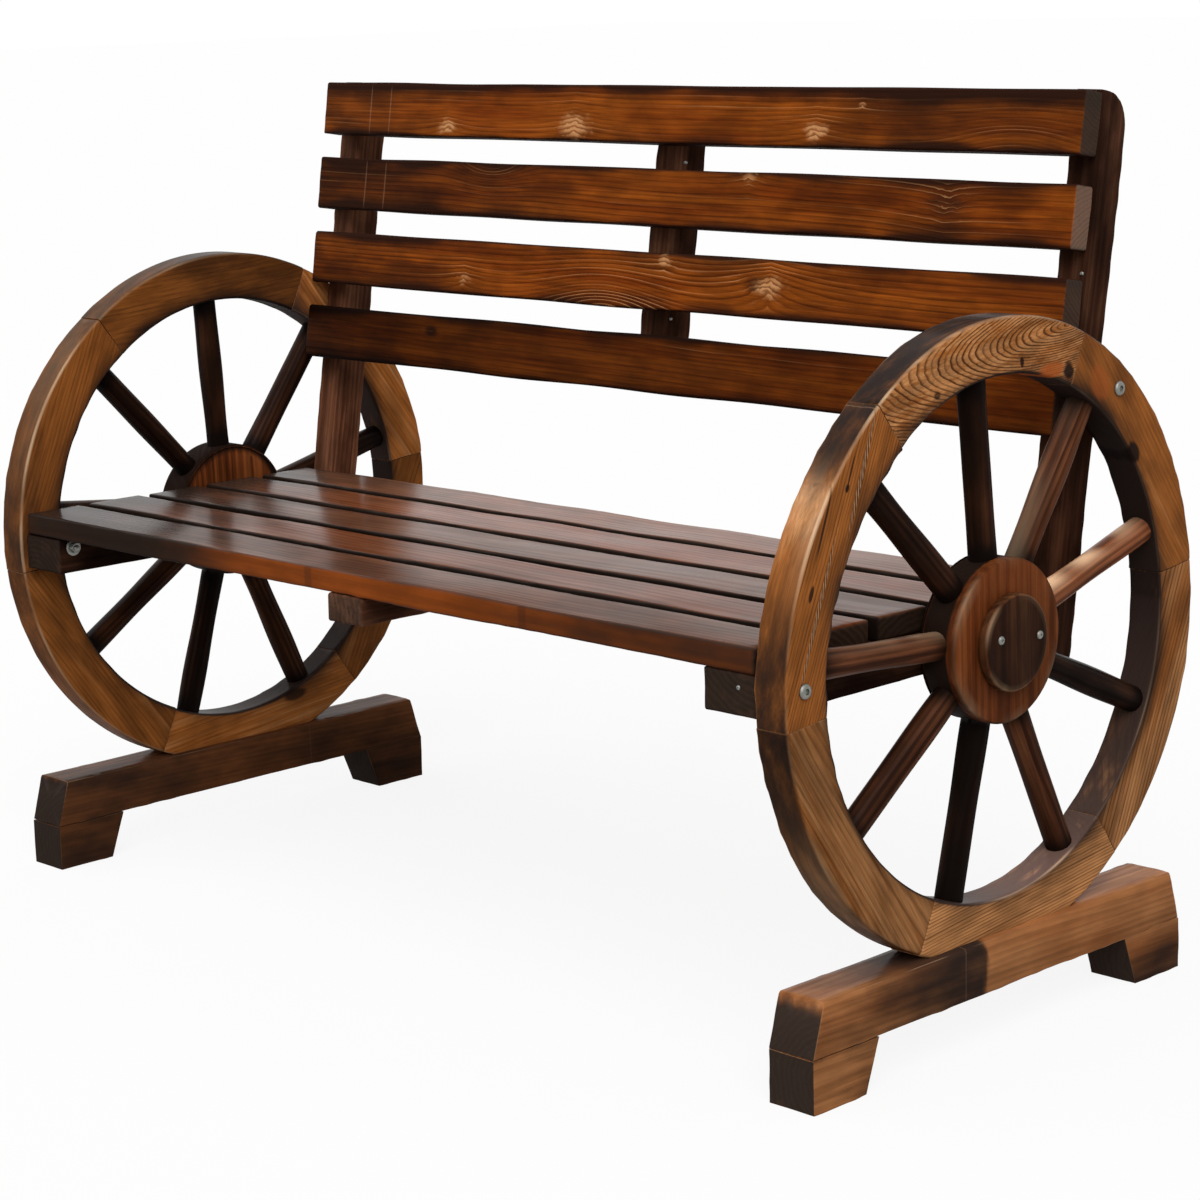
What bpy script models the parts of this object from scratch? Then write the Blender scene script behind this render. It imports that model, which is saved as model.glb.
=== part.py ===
"""Rustic garden bench carried by two wagon wheels, piece by piece.

Metres, +Z up. The origin is on the floor below the wheels' centres, midway between the two wheels.
+X runs along the seat, -Y is the front, and each wheel's axis lies along X.
"""
from math import asin, cos, pi, radians, sin, sqrt, tan

import bmesh
import bpy
from mathutils import Matrix, Vector

# Fits
CLEARANCE = 0.0003            # between two pieces that touch
CUT_PAST = 0.004              # how far a cutter runs past the face that it opens

# Wheels
WHEEL_DIAMETER = 0.564
WHEEL_SPACING = 1.050         # between the inner faces of the two wheels
RIM_DEPTH = 0.0505            # radial depth of the felloes
RIM_THICKNESS = 0.035
FELLOE_COUNT = 6
FELLOE_STEPS = 10             # flats along each felloe
FIRST_JOINT = radians(6.0)    # angles run from +Y towards +Z
SPOKE_COUNT = 9
FIRST_SPOKE_RIGHT = radians(16.0)
FIRST_SPOKE_LEFT = radians(13.4)
SPOKE_DIAMETER = 0.0265
TENON_DIAMETER = 0.014
RIM_TENON_LENGTH = 0.016
HUB_TENON_LENGTH = 0.022
HUB_DIAMETER = 0.146
HUB_PROUD = 0.0045            # hub's outer face beyond the rim's outer face
CAP_DIAMETER = 0.0865
CAP_THICKNESS = 0.010

# Feet
TRENCH_WALL = 0.0073          # wood left on each side of the rim
RUNNER_HEIGHT = 0.048
RUNNER_LENGTH = 0.517         # along its underside
RUNNER_END_SLOPE = 0.0145     # how much shorter each end is at the top
BLOCK_HEIGHT = 0.048
BLOCK_LENGTH = 0.085          # along its top
BLOCK_SLOPE = 0.0175          # how much shorter it is at the floor
RIM_LET_IN = 0.020            # depth of the rim in the runner
FOOT_FORWARD = 0.004          # middle of the feet before the wheels' centres

# Seat
SEAT_INSET = 0.006            # seat's front edge behind the front of the wheel
SEAT_SLAT_COUNT = 5
SEAT_END_GAP = 0.005          # between the ends of the seat slats and the wheels
SEAT_SLAT_WIDTH = 0.066
SEAT_SLAT_GAP = 0.012
SEAT_SLAT_THICKNESS = 0.0217
SEAT_BEAM_WIDTH = 0.0615
SEAT_BEAM_HEIGHT = 0.037
SEAT_BEAM_DROP = 0.0054       # beam's middle below the wheel's centre
BATTEN_WIDTH = 0.050
BATTEN_HEIGHT = 0.027

# Back
BACK_LEAN = radians(9.4)
SEAT_TO_POST = 0.008          # front face of the posts behind the seat, at the height of the wheel's centre
POST_WIDTH = 0.031
POST_DEPTH = 0.0392
POST_LENGTH = 0.5115
POST_TAIL = 0.042             # post's length below the height of the wheel's centre
POST_TOP_RADIUS = 0.032
MIDDLE_POST_WIDTH = 0.0455
MIDDLE_POST_DEPTH = 0.0255
MIDDLE_POST_SHY = 0.004       # its ends stop short of the outer edges of the slats
BACK_SLAT_COUNT = 4
BACK_SLAT_WIDTH = 0.0575
BACK_SLAT_GAP = 0.0257
BACK_SLAT_THICKNESS = 0.025
BACK_SLAT_BELOW_POST = 0.003  # top slat's upper edge below the tops of the posts

# Fasteners
BOLT_DIAMETER = 0.006
BOLT_HEAD_DIAMETER = 0.0135
BOLT_HEAD_HEIGHT = 0.0035
BOLT_END = 0.002              # thread that shows past the nut
CROWN = 0.60                  # domed bolt head, as shares of its radius: at its top
SHOULDER = 0.92               # and half way up
RIM_BOLT_INSET = 0.0225       # bolt's axis inside the tread
WASHER_BELOW = 0.0012         # washer's edge below the top of the seat beam
NUT_ACROSS_FLATS = 0.010
NUT_HEIGHT = 0.005
WASHER_DIAMETER = 0.018
WASHER_THICKNESS = 0.0016

# Facets of the round pieces
ROUND_SIDES = 36
SPOKE_SIDES = 12
BOLT_SIDES = 12               # two to each flat of the nut
TRENCH_SIDES = 120
CORNER_STEPS = 5
SMOOTH_ANGLE = radians(35)    # flats that meet at less are shaded as one round

# Worked out from the sizes above
WHEEL_RADIUS = WHEEL_DIAMETER / 2
RIM_INNER_RADIUS = WHEEL_RADIUS - RIM_DEPTH
HUB_RADIUS = HUB_DIAMETER / 2
HUB_THICKNESS = RIM_THICKNESS + HUB_PROUD
FOOT_WIDTH = RIM_THICKNESS + 2 * (CLEARANCE + TRENCH_WALL)
RUNNER_BOTTOM = BLOCK_HEIGHT + CLEARANCE
RUNNER_TOP = RUNNER_BOTTOM + RUNNER_HEIGHT
WHEEL_HEIGHT = RUNNER_TOP - RIM_LET_IN + CLEARANCE + WHEEL_RADIUS
WHEEL_FACE = WHEEL_SPACING / 2
RIM_MIDDLE = WHEEL_FACE + RIM_THICKNESS / 2
RIM_FACE = WHEEL_FACE + RIM_THICKNESS
SPOKE_INNER_END = HUB_RADIUS - HUB_TENON_LENGTH
SPOKE_OUTER_END = RIM_INNER_RADIUS + RIM_TENON_LENGTH
FRAME_FACE = WHEEL_FACE - CLEARANCE
BEAM_INNER = FRAME_FACE - SEAT_BEAM_WIDTH
BEAM_MIDDLE_Z = WHEEL_HEIGHT - SEAT_BEAM_DROP
BEAM_TOP = BEAM_MIDDLE_Z + SEAT_BEAM_HEIGHT / 2
BEAM_BOTTOM = BEAM_TOP - SEAT_BEAM_HEIGHT
BEAM_BOLT_Z = BEAM_TOP - WASHER_BELOW - WASHER_DIAMETER / 2
SLAT_BOTTOM = BEAM_TOP + CLEARANCE
SEAT_SLAT_LENGTH = WHEEL_SPACING - 2 * SEAT_END_GAP
SEAT_PITCH = SEAT_SLAT_WIDTH + SEAT_SLAT_GAP
SEAT_FRONT = SEAT_INSET - WHEEL_RADIUS
SEAT_REAR = SEAT_FRONT + SEAT_SLAT_COUNT * SEAT_PITCH - SEAT_SLAT_GAP
POST_SETBACK = SEAT_REAR + SEAT_TO_POST
POST_INNER = FRAME_FACE - POST_WIDTH
POST_TOP = POST_LENGTH - POST_TAIL
BACK_TOP = POST_TOP - BACK_SLAT_BELOW_POST
BACK_PITCH = BACK_SLAT_WIDTH + BACK_SLAT_GAP
BACK_BOTTOM = BACK_TOP - BACK_SLAT_COUNT * BACK_PITCH + BACK_SLAT_GAP
RIM_BOLT_RADIUS = WHEEL_RADIUS - RIM_BOLT_INSET
SIDES = {"right": 1, "left": -1}
FIRST_SPOKE = {"right": FIRST_SPOKE_RIGHT, "left": FIRST_SPOKE_LEFT}


def seat_slat_front(index):
    """Front edge of a seat slat, counted from the front."""
    return SEAT_FRONT + index * SEAT_PITCH


def back_slat_top(index):
    """Upper edge of a back slat, along the posts, counted from the top."""
    return BACK_TOP - index * BACK_PITCH


def post_front(height):
    """Y of the posts' front face at a height above the floor."""
    return POST_SETBACK + (height - WHEEL_HEIGHT) * tan(BACK_LEAN)


def back_frame():
    """Place of the back: its XZ plane is the posts' front face, its Z runs up the posts."""
    return Matrix.Translation((0, POST_SETBACK, WHEEL_HEIGHT)) @ Matrix.Rotation(-BACK_LEAN, 4, "X")


def post_bolt_height():
    """Height up the post's middle line where it crosses the circle of the rim bolts."""
    reach = POST_SETBACK ** 2 + POST_SETBACK * POST_DEPTH * cos(BACK_LEAN) + POST_DEPTH ** 2 / 4
    slide = POST_SETBACK * sin(BACK_LEAN)
    return sqrt(slide ** 2 + RIM_BOLT_RADIUS ** 2 - reach) - slide


def clear_scene():
    for obj in list(bpy.data.objects):
        bpy.data.objects.remove(obj, do_unlink=True)


def make_material(name, colour, roughness, metallic=0.0):
    made = bpy.data.materials.new(name)
    made.use_nodes = True
    shader = made.node_tree.nodes["Principled BSDF"]
    shader.inputs["Base Color"].default_value = (*colour, 1.0)
    shader.inputs["Roughness"].default_value = roughness
    shader.inputs["Metallic"].default_value = metallic
    return made


def make_empty(name, place):
    empty = bpy.data.objects.new(name, None)
    empty.matrix_world = place
    bpy.context.scene.collection.objects.link(empty)
    return empty


def make_object(name, shape, finish=None, parent=None, smooth=False):
    """Object with the mesh of a bmesh, its faces turned outwards."""
    bmesh.ops.recalc_face_normals(shape, faces=shape.faces)
    mesh = bpy.data.meshes.new(name)
    shape.to_mesh(mesh)
    shape.free()
    if finish is not None:
        mesh.materials.append(finish)
    if smooth:
        mesh.shade_smooth()
        mesh.set_sharp_from_angle(angle=SMOOTH_ANGLE)
    obj = bpy.data.objects.new(name, mesh)
    obj.parent = parent
    bpy.context.scene.collection.objects.link(obj)
    return obj


def make_cutter(name, shape, parent=None):
    cutter = make_object(name, shape, parent=parent)
    cutter.hide_render = True
    cutter.display_type = "WIRE"
    return cutter


def cut(obj, cutter):
    taken = obj.modifiers.new(cutter.name, "BOOLEAN")
    taken.operation = "DIFFERENCE"
    taken.solver = "EXACT"
    taken.object = cutter


def loft(shape, rings):
    """Skin of quads over rings of equally many points, with a cap on each end."""
    rows = [[shape.verts.new(point) for point in ring] for ring in rings]
    for low, high in zip(rows, rows[1:]):
        for k in range(len(low)):
            shape.faces.new((low[k - 1], low[k], high[k], high[k - 1]))
    shape.faces.new(rows[0])
    shape.faces.new(rows[-1])


def turned(shape, profile, place, sides):
    """Solid turned about the local Z axis of a place, from (height, radius) pairs.

    A list in place of a radius gives each corner of that ring its own, as on a nut.
    """
    turns = [2 * pi * (k + 0.5) / sides for k in range(sides)]
    rings = []
    for height, radius in profile:
        radii = radius if isinstance(radius, list) else [radius] * sides
        rings.append([place @ Vector((r * cos(t), r * sin(t), height)) for r, t in zip(radii, turns)])
    loft(shape, rings)


def prism(shape, outline, low, high):
    """Solid of a (y, z) outline between two values of x."""
    loft(shape, [[(x, y, z) for y, z in outline] for x in (low, high)])


def board(shape, low, high):
    """Box between two opposite corners."""
    outline = [(low[1], low[2]), (high[1], low[2]), (high[1], high[2]), (low[1], high[2])]
    prism(shape, outline, low[0], high[0])


def aim(point, direction):
    """Place whose origin is a point and whose Z axis lies along a direction."""
    return Matrix.Translation(point) @ Vector(direction).to_track_quat("Z", "Y").to_matrix().to_4x4()


def spread(low, high, side):
    """Two values of x on the outside of a side, in rising order."""
    return sorted((side * low, side * high))


def wheel_bolt_places():
    """Head point, outward side and grip of each bolt through a rim, into a seat beam or a back post."""
    beam_y = -sqrt(RIM_BOLT_RADIUS ** 2 - (BEAM_BOLT_Z - WHEEL_HEIGHT) ** 2)
    post_point = back_frame() @ Vector((0, POST_DEPTH / 2, post_bolt_height()))
    places = {}
    for hand, side in SIDES.items():
        beam_head = Vector((side * RIM_FACE, beam_y, BEAM_BOLT_Z))
        post_head = Vector((side * RIM_FACE, post_point.y, post_point.z))
        places[f"beam_bolt_{hand}"] = (beam_head, side, RIM_FACE - BEAM_INNER)
        places[f"post_bolt_{hand}"] = (post_head, side, RIM_FACE - POST_INNER)
    return places


def make_bolts(steel):
    """Bolts with their washers and nuts, and one cutter with the holes that they pass through."""
    shank = BOLT_DIAMETER / 2
    head = BOLT_HEAD_DIAMETER / 2
    washer = WASHER_DIAMETER / 2
    flat = NUT_ACROSS_FLATS / 2
    hexagon = [flat / cos(pi / 6), flat] * (BOLT_SIDES // 2)
    holes = bmesh.new()
    for name, (point, side, grip) in wheel_bolt_places().items():
        place = aim(point, (-side, 0, 0))
        seat = grip + CLEARANCE
        nut = seat + WASHER_THICKNESS
        end = nut + NUT_HEIGHT
        neck = -CLEARANCE
        dome = [(neck - BOLT_HEAD_HEIGHT, head * CROWN), (neck - BOLT_HEAD_HEIGHT / 2, head * SHOULDER)]
        stack = dome + [(neck, head), (neck, shank), (seat, shank), (seat, washer), (nut, washer),
                        (nut, hexagon), (end, hexagon), (end, shank), (end + BOLT_END, shank)]
        bolt = bmesh.new()
        turned(bolt, stack, place, BOLT_SIDES)
        make_object(name, bolt, steel, smooth=True)
        bore = shank + CLEARANCE
        turned(holes, [(-CUT_PAST, bore), (grip + CUT_PAST, bore)], place, BOLT_SIDES)
    return make_cutter("bolt_holes", holes)


def felloe_section(angle, shift):
    """Four corners across the rim at an angle, moved by a shift square to that radius."""
    inner = RIM_INNER_RADIUS / cos(pi / FELLOE_COUNT / FELLOE_STEPS)
    corners = []
    half = RIM_THICKNESS / 2
    for radius, x in ((inner, -half), (WHEEL_RADIUS, -half), (WHEEL_RADIUS, half), (inner, half)):
        turn = angle + asin(shift / radius)
        corners.append((x, radius * cos(turn), radius * sin(turn)))
    return corners


def make_rim(hand, wheel, finish, tenon_holes, bolt_holes):
    """Six felloes, glued end to end, bored for the spokes' tenons."""
    span = 2 * pi / FELLOE_COUNT
    for index in range(FELLOE_COUNT):
        start = FIRST_JOINT + index * span
        shape = bmesh.new()
        rings = []
        for step in range(FELLOE_STEPS + 1):
            shift = {0: CLEARANCE / 2, FELLOE_STEPS: -CLEARANCE / 2}.get(step, 0.0)
            rings.append(felloe_section(start + span * step / FELLOE_STEPS, shift))
        loft(shape, rings)
        felloe = make_object(f"felloe_{hand}_{index + 1}", shape, finish, wheel, smooth=True)
        cut(felloe, tenon_holes)
        cut(felloe, bolt_holes)


def spoke_place(hand, index):
    """Place in the wheel whose Z axis runs out along a spoke."""
    turn = FIRST_SPOKE[hand] + index * 2 * pi / SPOKE_COUNT
    return aim((0, 0, 0), (0, cos(turn), sin(turn)))


def make_spokes(hand, wheel, finish):
    """Round spokes with a smaller tenon at each end."""
    body = SPOKE_DIAMETER / 2
    tenon = TENON_DIAMETER / 2
    hub_shoulder = HUB_RADIUS + CLEARANCE
    rim_shoulder = sqrt(RIM_INNER_RADIUS ** 2 - body ** 2) - CLEARANCE
    profile = [(SPOKE_INNER_END, tenon), (hub_shoulder, tenon), (hub_shoulder, body),
               (rim_shoulder, body), (rim_shoulder, tenon), (SPOKE_OUTER_END, tenon)]
    for index in range(SPOKE_COUNT):
        shape = bmesh.new()
        turned(shape, profile, spoke_place(hand, index), SPOKE_SIDES)
        make_object(f"spoke_{hand}_{index + 1}", shape, finish, wheel, smooth=True)


def make_tenon_holes(hand, wheel):
    """Cutter for the mortises of one wheel, in hub and felloes."""
    shape = bmesh.new()
    bore = TENON_DIAMETER / 2 + CLEARANCE
    middle = [(SPOKE_INNER_END - CLEARANCE, bore), (SPOKE_OUTER_END + CLEARANCE, bore)]
    for index in range(SPOKE_COUNT):
        turned(shape, middle, spoke_place(hand, index), SPOKE_SIDES)
    return make_cutter(f"tenon_holes_{hand}", shape, wheel)


def make_hub(hand, side, wheel, hub_finish, cap_finish, tenon_holes):
    """Drum that the spokes meet, with a flat to each spoke, and the round cap on its outer face."""
    outward = aim((0, 0, 0), (side, 0, 0))
    spin = Matrix.Rotation(FIRST_SPOKE[hand], 4, "X") @ outward
    inner = WHEEL_FACE - RIM_MIDDLE
    drum = bmesh.new()
    turned(drum, [(inner, HUB_RADIUS), (inner + HUB_THICKNESS, HUB_RADIUS)], spin, ROUND_SIDES)
    hub = make_object(f"hub_{hand}", drum, hub_finish, wheel, smooth=True)
    cut(hub, tenon_holes)
    disc = bmesh.new()
    low = inner + HUB_THICKNESS + CLEARANCE
    turned(disc, [(low, CAP_DIAMETER / 2), (low + CAP_THICKNESS, CAP_DIAMETER / 2)], outward, ROUND_SIDES)
    make_object(f"hub_cap_{hand}", disc, cap_finish, wheel, smooth=True)


def make_wheel(hand, side, finishes, bolt_holes):
    wheel = make_empty(f"wheel_{hand}", Matrix.Translation((side * RIM_MIDDLE, 0, WHEEL_HEIGHT)))
    tenon_holes = make_tenon_holes(hand, wheel)
    make_rim(hand, wheel, finishes["rim"], tenon_holes, bolt_holes)
    make_spokes(hand, wheel, finishes["spoke"])
    make_hub(hand, side, wheel, finishes["hub"], finishes["cap"], tenon_holes)


def make_foot(hand, side, finish):
    """Runner with the trench that the rim is let into, on a block at each end."""
    foot = make_empty(f"foot_{hand}", Matrix.Translation((side * RIM_MIDDLE, -FOOT_FORWARD, 0)))
    half = FOOT_WIDTH / 2
    end = RUNNER_LENGTH / 2
    top_end = end - RUNNER_END_SLOPE
    runner_shape = bmesh.new()
    side_view = [(-end, RUNNER_BOTTOM), (end, RUNNER_BOTTOM), (top_end, RUNNER_TOP), (-top_end, RUNNER_TOP)]
    prism(runner_shape, side_view, -half, half)
    runner = make_object(f"foot_runner_{hand}", runner_shape, finish, foot)
    trench_shape = bmesh.new()
    trench_radius = (WHEEL_RADIUS + CLEARANCE) / cos(pi / TRENCH_SIDES)
    trench_half = RIM_THICKNESS / 2 + CLEARANCE
    centre = aim((0, FOOT_FORWARD, WHEEL_HEIGHT), (1, 0, 0))
    turned(trench_shape, [(-trench_half, trench_radius), (trench_half, trench_radius)], centre, TRENCH_SIDES)
    cut(runner, make_cutter(f"rim_trench_{hand}", trench_shape, foot))
    for end_name, way in (("front", -1), ("rear", 1)):
        outline = [(way * end, 0), (way * end, BLOCK_HEIGHT), (way * (end - BLOCK_LENGTH), BLOCK_HEIGHT),
                   (way * (end - BLOCK_LENGTH + BLOCK_SLOPE), 0)]
        block_shape = bmesh.new()
        prism(block_shape, outline, -half, half)
        make_object(f"foot_block_{end_name}_{hand}", block_shape, finish, foot)


def make_seat(slat_finish, frame_finish, bolt_holes):
    """Slats on two end beams and a middle batten."""
    half = SEAT_SLAT_LENGTH / 2
    for index in range(SEAT_SLAT_COUNT):
        front = seat_slat_front(index)
        shape = bmesh.new()
        rear = front + SEAT_SLAT_WIDTH
        board(shape, (-half, front, SLAT_BOTTOM), (half, rear, SLAT_BOTTOM + SEAT_SLAT_THICKNESS))
        make_object(f"seat_slat_{index + 1}", shape, slat_finish)
    post_gap = CLEARANCE / cos(BACK_LEAN)
    side_view = [(SEAT_FRONT, BEAM_BOTTOM), (post_front(BEAM_BOTTOM) - post_gap, BEAM_BOTTOM),
                 (post_front(BEAM_TOP) - post_gap, BEAM_TOP), (SEAT_FRONT, BEAM_TOP)]
    for hand, side in SIDES.items():
        shape = bmesh.new()
        prism(shape, side_view, *spread(BEAM_INNER, FRAME_FACE, side))
        cut(make_object(f"seat_beam_{hand}", shape, frame_finish), bolt_holes)
    batten = bmesh.new()
    half = BATTEN_WIDTH / 2
    board(batten, (-half, SEAT_FRONT, BEAM_TOP - BATTEN_HEIGHT), (half, SEAT_REAR, BEAM_TOP))
    make_object("seat_batten", batten, frame_finish)


def make_back(slat_finish, frame_finish, bolt_holes):
    """Slats across the front of two leaning end posts and a short middle post."""
    back = make_empty("back", back_frame())
    corner = min(POST_TOP_RADIUS, POST_DEPTH - CLEARANCE)
    rounded = [(POST_DEPTH - corner + corner * cos(t), POST_TOP - corner + corner * sin(t))
               for t in (pi / 2 * k / CORNER_STEPS for k in range(CORNER_STEPS + 1))]
    side_view = [(0, -POST_TAIL), (POST_DEPTH, -POST_TAIL), *rounded, (0, POST_TOP)]
    for hand, side in SIDES.items():
        shape = bmesh.new()
        prism(shape, side_view, *spread(POST_INNER, FRAME_FACE, side))
        cut(make_object(f"back_post_{hand}", shape, frame_finish, back), bolt_holes)
    middle = bmesh.new()
    half = MIDDLE_POST_WIDTH / 2
    low = BACK_BOTTOM + MIDDLE_POST_SHY
    high = BACK_TOP - MIDDLE_POST_SHY
    board(middle, (-half, 0, low), (half, MIDDLE_POST_DEPTH, high))
    make_object("back_post_middle", middle, frame_finish, back)
    for index in range(BACK_SLAT_COUNT):
        top = back_slat_top(index)
        shape = bmesh.new()
        board(shape, (-FRAME_FACE, -CLEARANCE - BACK_SLAT_THICKNESS, top - BACK_SLAT_WIDTH),
              (FRAME_FACE, -CLEARANCE, top))
        make_object(f"back_slat_{index + 1}", shape, slat_finish, back)


def main():
    clear_scene()
    finishes = {
        "rim": make_material("rim_wood", (0.27, 0.12, 0.035), 0.45),
        "spoke": make_material("spoke_wood", (0.075, 0.030, 0.016), 0.4),
        "hub": make_material("hub_wood", (0.16, 0.055, 0.022), 0.45),
        "cap": make_material("cap_wood", (0.055, 0.026, 0.017), 0.4),
        "foot": make_material("foot_wood", (0.13, 0.052, 0.020), 0.5),
        "seat": make_material("seat_wood", (0.12, 0.060, 0.040), 0.35),
        "back": make_material("back_wood", (0.15, 0.050, 0.016), 0.4),
        "frame": make_material("frame_wood", (0.055, 0.026, 0.016), 0.5),
    }
    steel = make_material("fastener_steel", (0.62, 0.62, 0.60), 0.35, 1.0)
    bolt_holes = make_bolts(steel)
    for hand, side in SIDES.items():
        make_foot(hand, side, finishes["foot"])
        make_wheel(hand, side, finishes, bolt_holes)
    make_seat(finishes["seat"], finishes["frame"], bolt_holes)
    make_back(finishes["back"], finishes["frame"], bolt_holes)


main()
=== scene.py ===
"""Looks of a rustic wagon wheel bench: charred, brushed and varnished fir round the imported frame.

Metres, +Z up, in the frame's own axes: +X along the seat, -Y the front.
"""
from math import cos, e, pi, radians, sin, sqrt, tau

import bpy
import numpy as np
from mathutils import Matrix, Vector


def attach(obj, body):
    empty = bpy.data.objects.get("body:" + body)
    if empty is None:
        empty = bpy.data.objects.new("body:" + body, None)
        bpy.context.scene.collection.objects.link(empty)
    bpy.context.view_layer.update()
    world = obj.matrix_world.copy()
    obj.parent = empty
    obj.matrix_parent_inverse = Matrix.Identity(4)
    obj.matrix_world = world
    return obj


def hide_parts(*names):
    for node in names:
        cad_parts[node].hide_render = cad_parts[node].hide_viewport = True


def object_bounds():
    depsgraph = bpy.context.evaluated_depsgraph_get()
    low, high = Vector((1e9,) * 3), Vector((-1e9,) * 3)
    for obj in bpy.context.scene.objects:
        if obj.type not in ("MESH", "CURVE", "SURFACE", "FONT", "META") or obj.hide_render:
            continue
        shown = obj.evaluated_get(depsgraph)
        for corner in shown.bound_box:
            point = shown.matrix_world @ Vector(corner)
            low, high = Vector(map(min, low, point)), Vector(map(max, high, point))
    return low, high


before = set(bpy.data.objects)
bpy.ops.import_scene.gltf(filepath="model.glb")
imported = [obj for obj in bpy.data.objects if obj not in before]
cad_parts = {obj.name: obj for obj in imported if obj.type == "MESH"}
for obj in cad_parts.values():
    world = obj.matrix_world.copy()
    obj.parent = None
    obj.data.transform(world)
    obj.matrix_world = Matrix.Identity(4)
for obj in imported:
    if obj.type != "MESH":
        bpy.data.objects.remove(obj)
cad_low, cad_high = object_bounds()

SIDES = {"right": 1, "left": -1}
ALONG_X = np.eye(3)  # the frame's own axes
ALONG_Y = ALONG_X[[1, 0, 2]]

# Wear and rounding of the timber
SLAT_EDGE = 0.0028  # radius worn on the edges of the slats
BACK_END_EDGE = SLAT_EDGE * 0.6  # at the ends of the back slats
FRAME_EDGE = 0.0025  # of posts, beams and batten
RIM_EDGE = 0.0030  # along the edges of the felloes
JOINT_EDGE = 0.0007  # at the glued ends of the felloes
FOOT_EDGE = 0.0009  # of runners and blocks, where they meet
RUNNER_EDGE = 0.0040  # along the top of a runner
HUB_EDGE = 0.0024
CAP_EDGE = 0.0022
WARP = (0.00045, 0.17)  # slow unevenness of a planed face: height and wavelength
DENT = (0.00045, 0.024)  # short dents, on the edges only
RUBBED_WAVE = 0.07  # of the rubbed stretches of an edge
SPOKE_HIGHLIGHT_WAVE = 0.05
HUB_RUB_WAVE = 0.06
POST_TOP_RADIUS = 0.032  # rear corner at the top of an end post
FIT = 0.0003  # between pieces that touch
LEVEL = 1e-4  # points that differ by less lie at one height
SHARP = radians(50)  # faces that meet at more are not shaded as one round

# Distance between the rings of a board, rings of a spoke, and points round the turned pieces
STATION = 0.008
FINE_STATION = 0.005  # frame timber and feet
RIM_STATION = 0.006
SPOKE_RINGS = 30
SPOKE_COLUMNS = 20
HUB_COLUMNS = 72
BOLT_COLUMNS = 48
SCREW_COLUMNS = 24

# Along the grain, from one piece's stretch of log to the next one's
LOG_STEP = 2.9
SPOKE_LOG_STEP = 1.3

# Most that pith and lean are drawn away from 0
PITH_SPREAD = 0.05
LEAN_SPREAD = 0.02
SPOKE_SPREAD = 0.03  # both, for a spoke

# Seeds, from which the pieces of a kind count on
LOG_SEED = 80  # logs of the frame timber
SEAT_SEED = 100
BACK_SEED = 140
FRAME_SEED = 180
FOOT_SEED = 220
RIM_SEED = 300
SPOKE_SEED = 400
EDGE_BURN_SEED = 500
HUB_WEAR_SEED = 600
SPOKE_HIGHLIGHT_SEED = 700

# Fasteners
BOLT_HEAD = 0.00675  # radius
BOLT_HEAD_HEIGHT = 0.0035
BOLT_DOME = ((0.0002, 0.68), (0.0009, 0.86), (0.002, 0.97))  # drop, and share of the radius
BOLT_SHANK = 0.003  # radius
RECESS_SHARE = 0.44  # hex socket across its corners, as a share of the bolt head
RECESS_DEPTH = 0.0022
BOLT_END = 0.002  # thread that shows past the nut
NUT_HEIGHT = 0.005
NUT_RADIUS = 0.005 / cos(pi / 6)
WASHER_THICKNESS = 0.0016
SCREW_DOME = ((0.2, 1.0), (0.55, 0.9), (0.85, 0.66), (1.0, 0.4))  # shares of height and radius
CAP_SCREW = (0.0039, 0.0022)  # radius and height of a screw head: on the hub caps
CAP_SCREW_SPACING = 0.054
CAP_SCREW_TILT = radians(-4.3)
CAP_SCREW_SHIFT = 0.004  # of the pair, to the rear and up
WOOD_SCREW = (0.0042, 0.0006)  # behind the posts and below the seat and feet
PIN = (0.0021, 0.0012)  # small bright pins on the posts and the right seat beam
PIN_INSET = 0.003  # from the edge of a post
# Post, slat, way up or down from it, and distance from its edge
PINS = (("middle", 2, 1, 0.009), ("middle", 3, -1, 0.0075), ("right", 3, 1, 0.006))
BEAM_PIN = (0.009, 0.006)  # from the middle of the beam's front end, along the seat and up
RIM_SCREW_SPACING = 0.06  # of the two screws from a runner into its rim

# Light, as turn round from the front, height, strength and width in degrees
KEY_LIGHT = (45, 45, 1.9, 40)
FILL_LIGHT = (-40, 40, 0.6, 70)
SKY_LEVEL = 0.42
WHITE = (1.0, 1.0, 1.0)
FLOOR_BOUNCE = (0.5, 0.5, 0.5)
FLOOR_WHITE = (0.94, 0.94, 0.94)
FLOOR_GLOW = 0.88
FLOOR_HALF = 40.0

# Photograph
PHOTO_SIDE = 1200
SENSOR = 36.0
FOCAL_PIXELS = 3029.3
CAMERA_PLACE = (2.15625, -2.03435, 0.93338)
CAMERA_YAW = 0.80073
CAMERA_PITCH = -0.20364
CAMERA_ROLL = -0.0273
VIEW_END = 200.0

# Linear colours that the woods share
CREAM = (0.62, 0.41, 0.25)
TAN = (0.56, 0.27, 0.11)
END_GRAIN = (0.066, 0.046, 0.034)
END_LINE = (0.040, 0.027, 0.020)
# Near-black: for char, and for painted shade in the hollows of the rims
SOOT_AND_SHADE = (0.008, 0.004, 0.003)
REDDISH = (0.36, 0.085, 0.018)

# Varnish and relief
COAT_ROUGHNESS = 0.2
COAT_IOR = 1.2
BUMP_DEPTH = 0.0010


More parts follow.
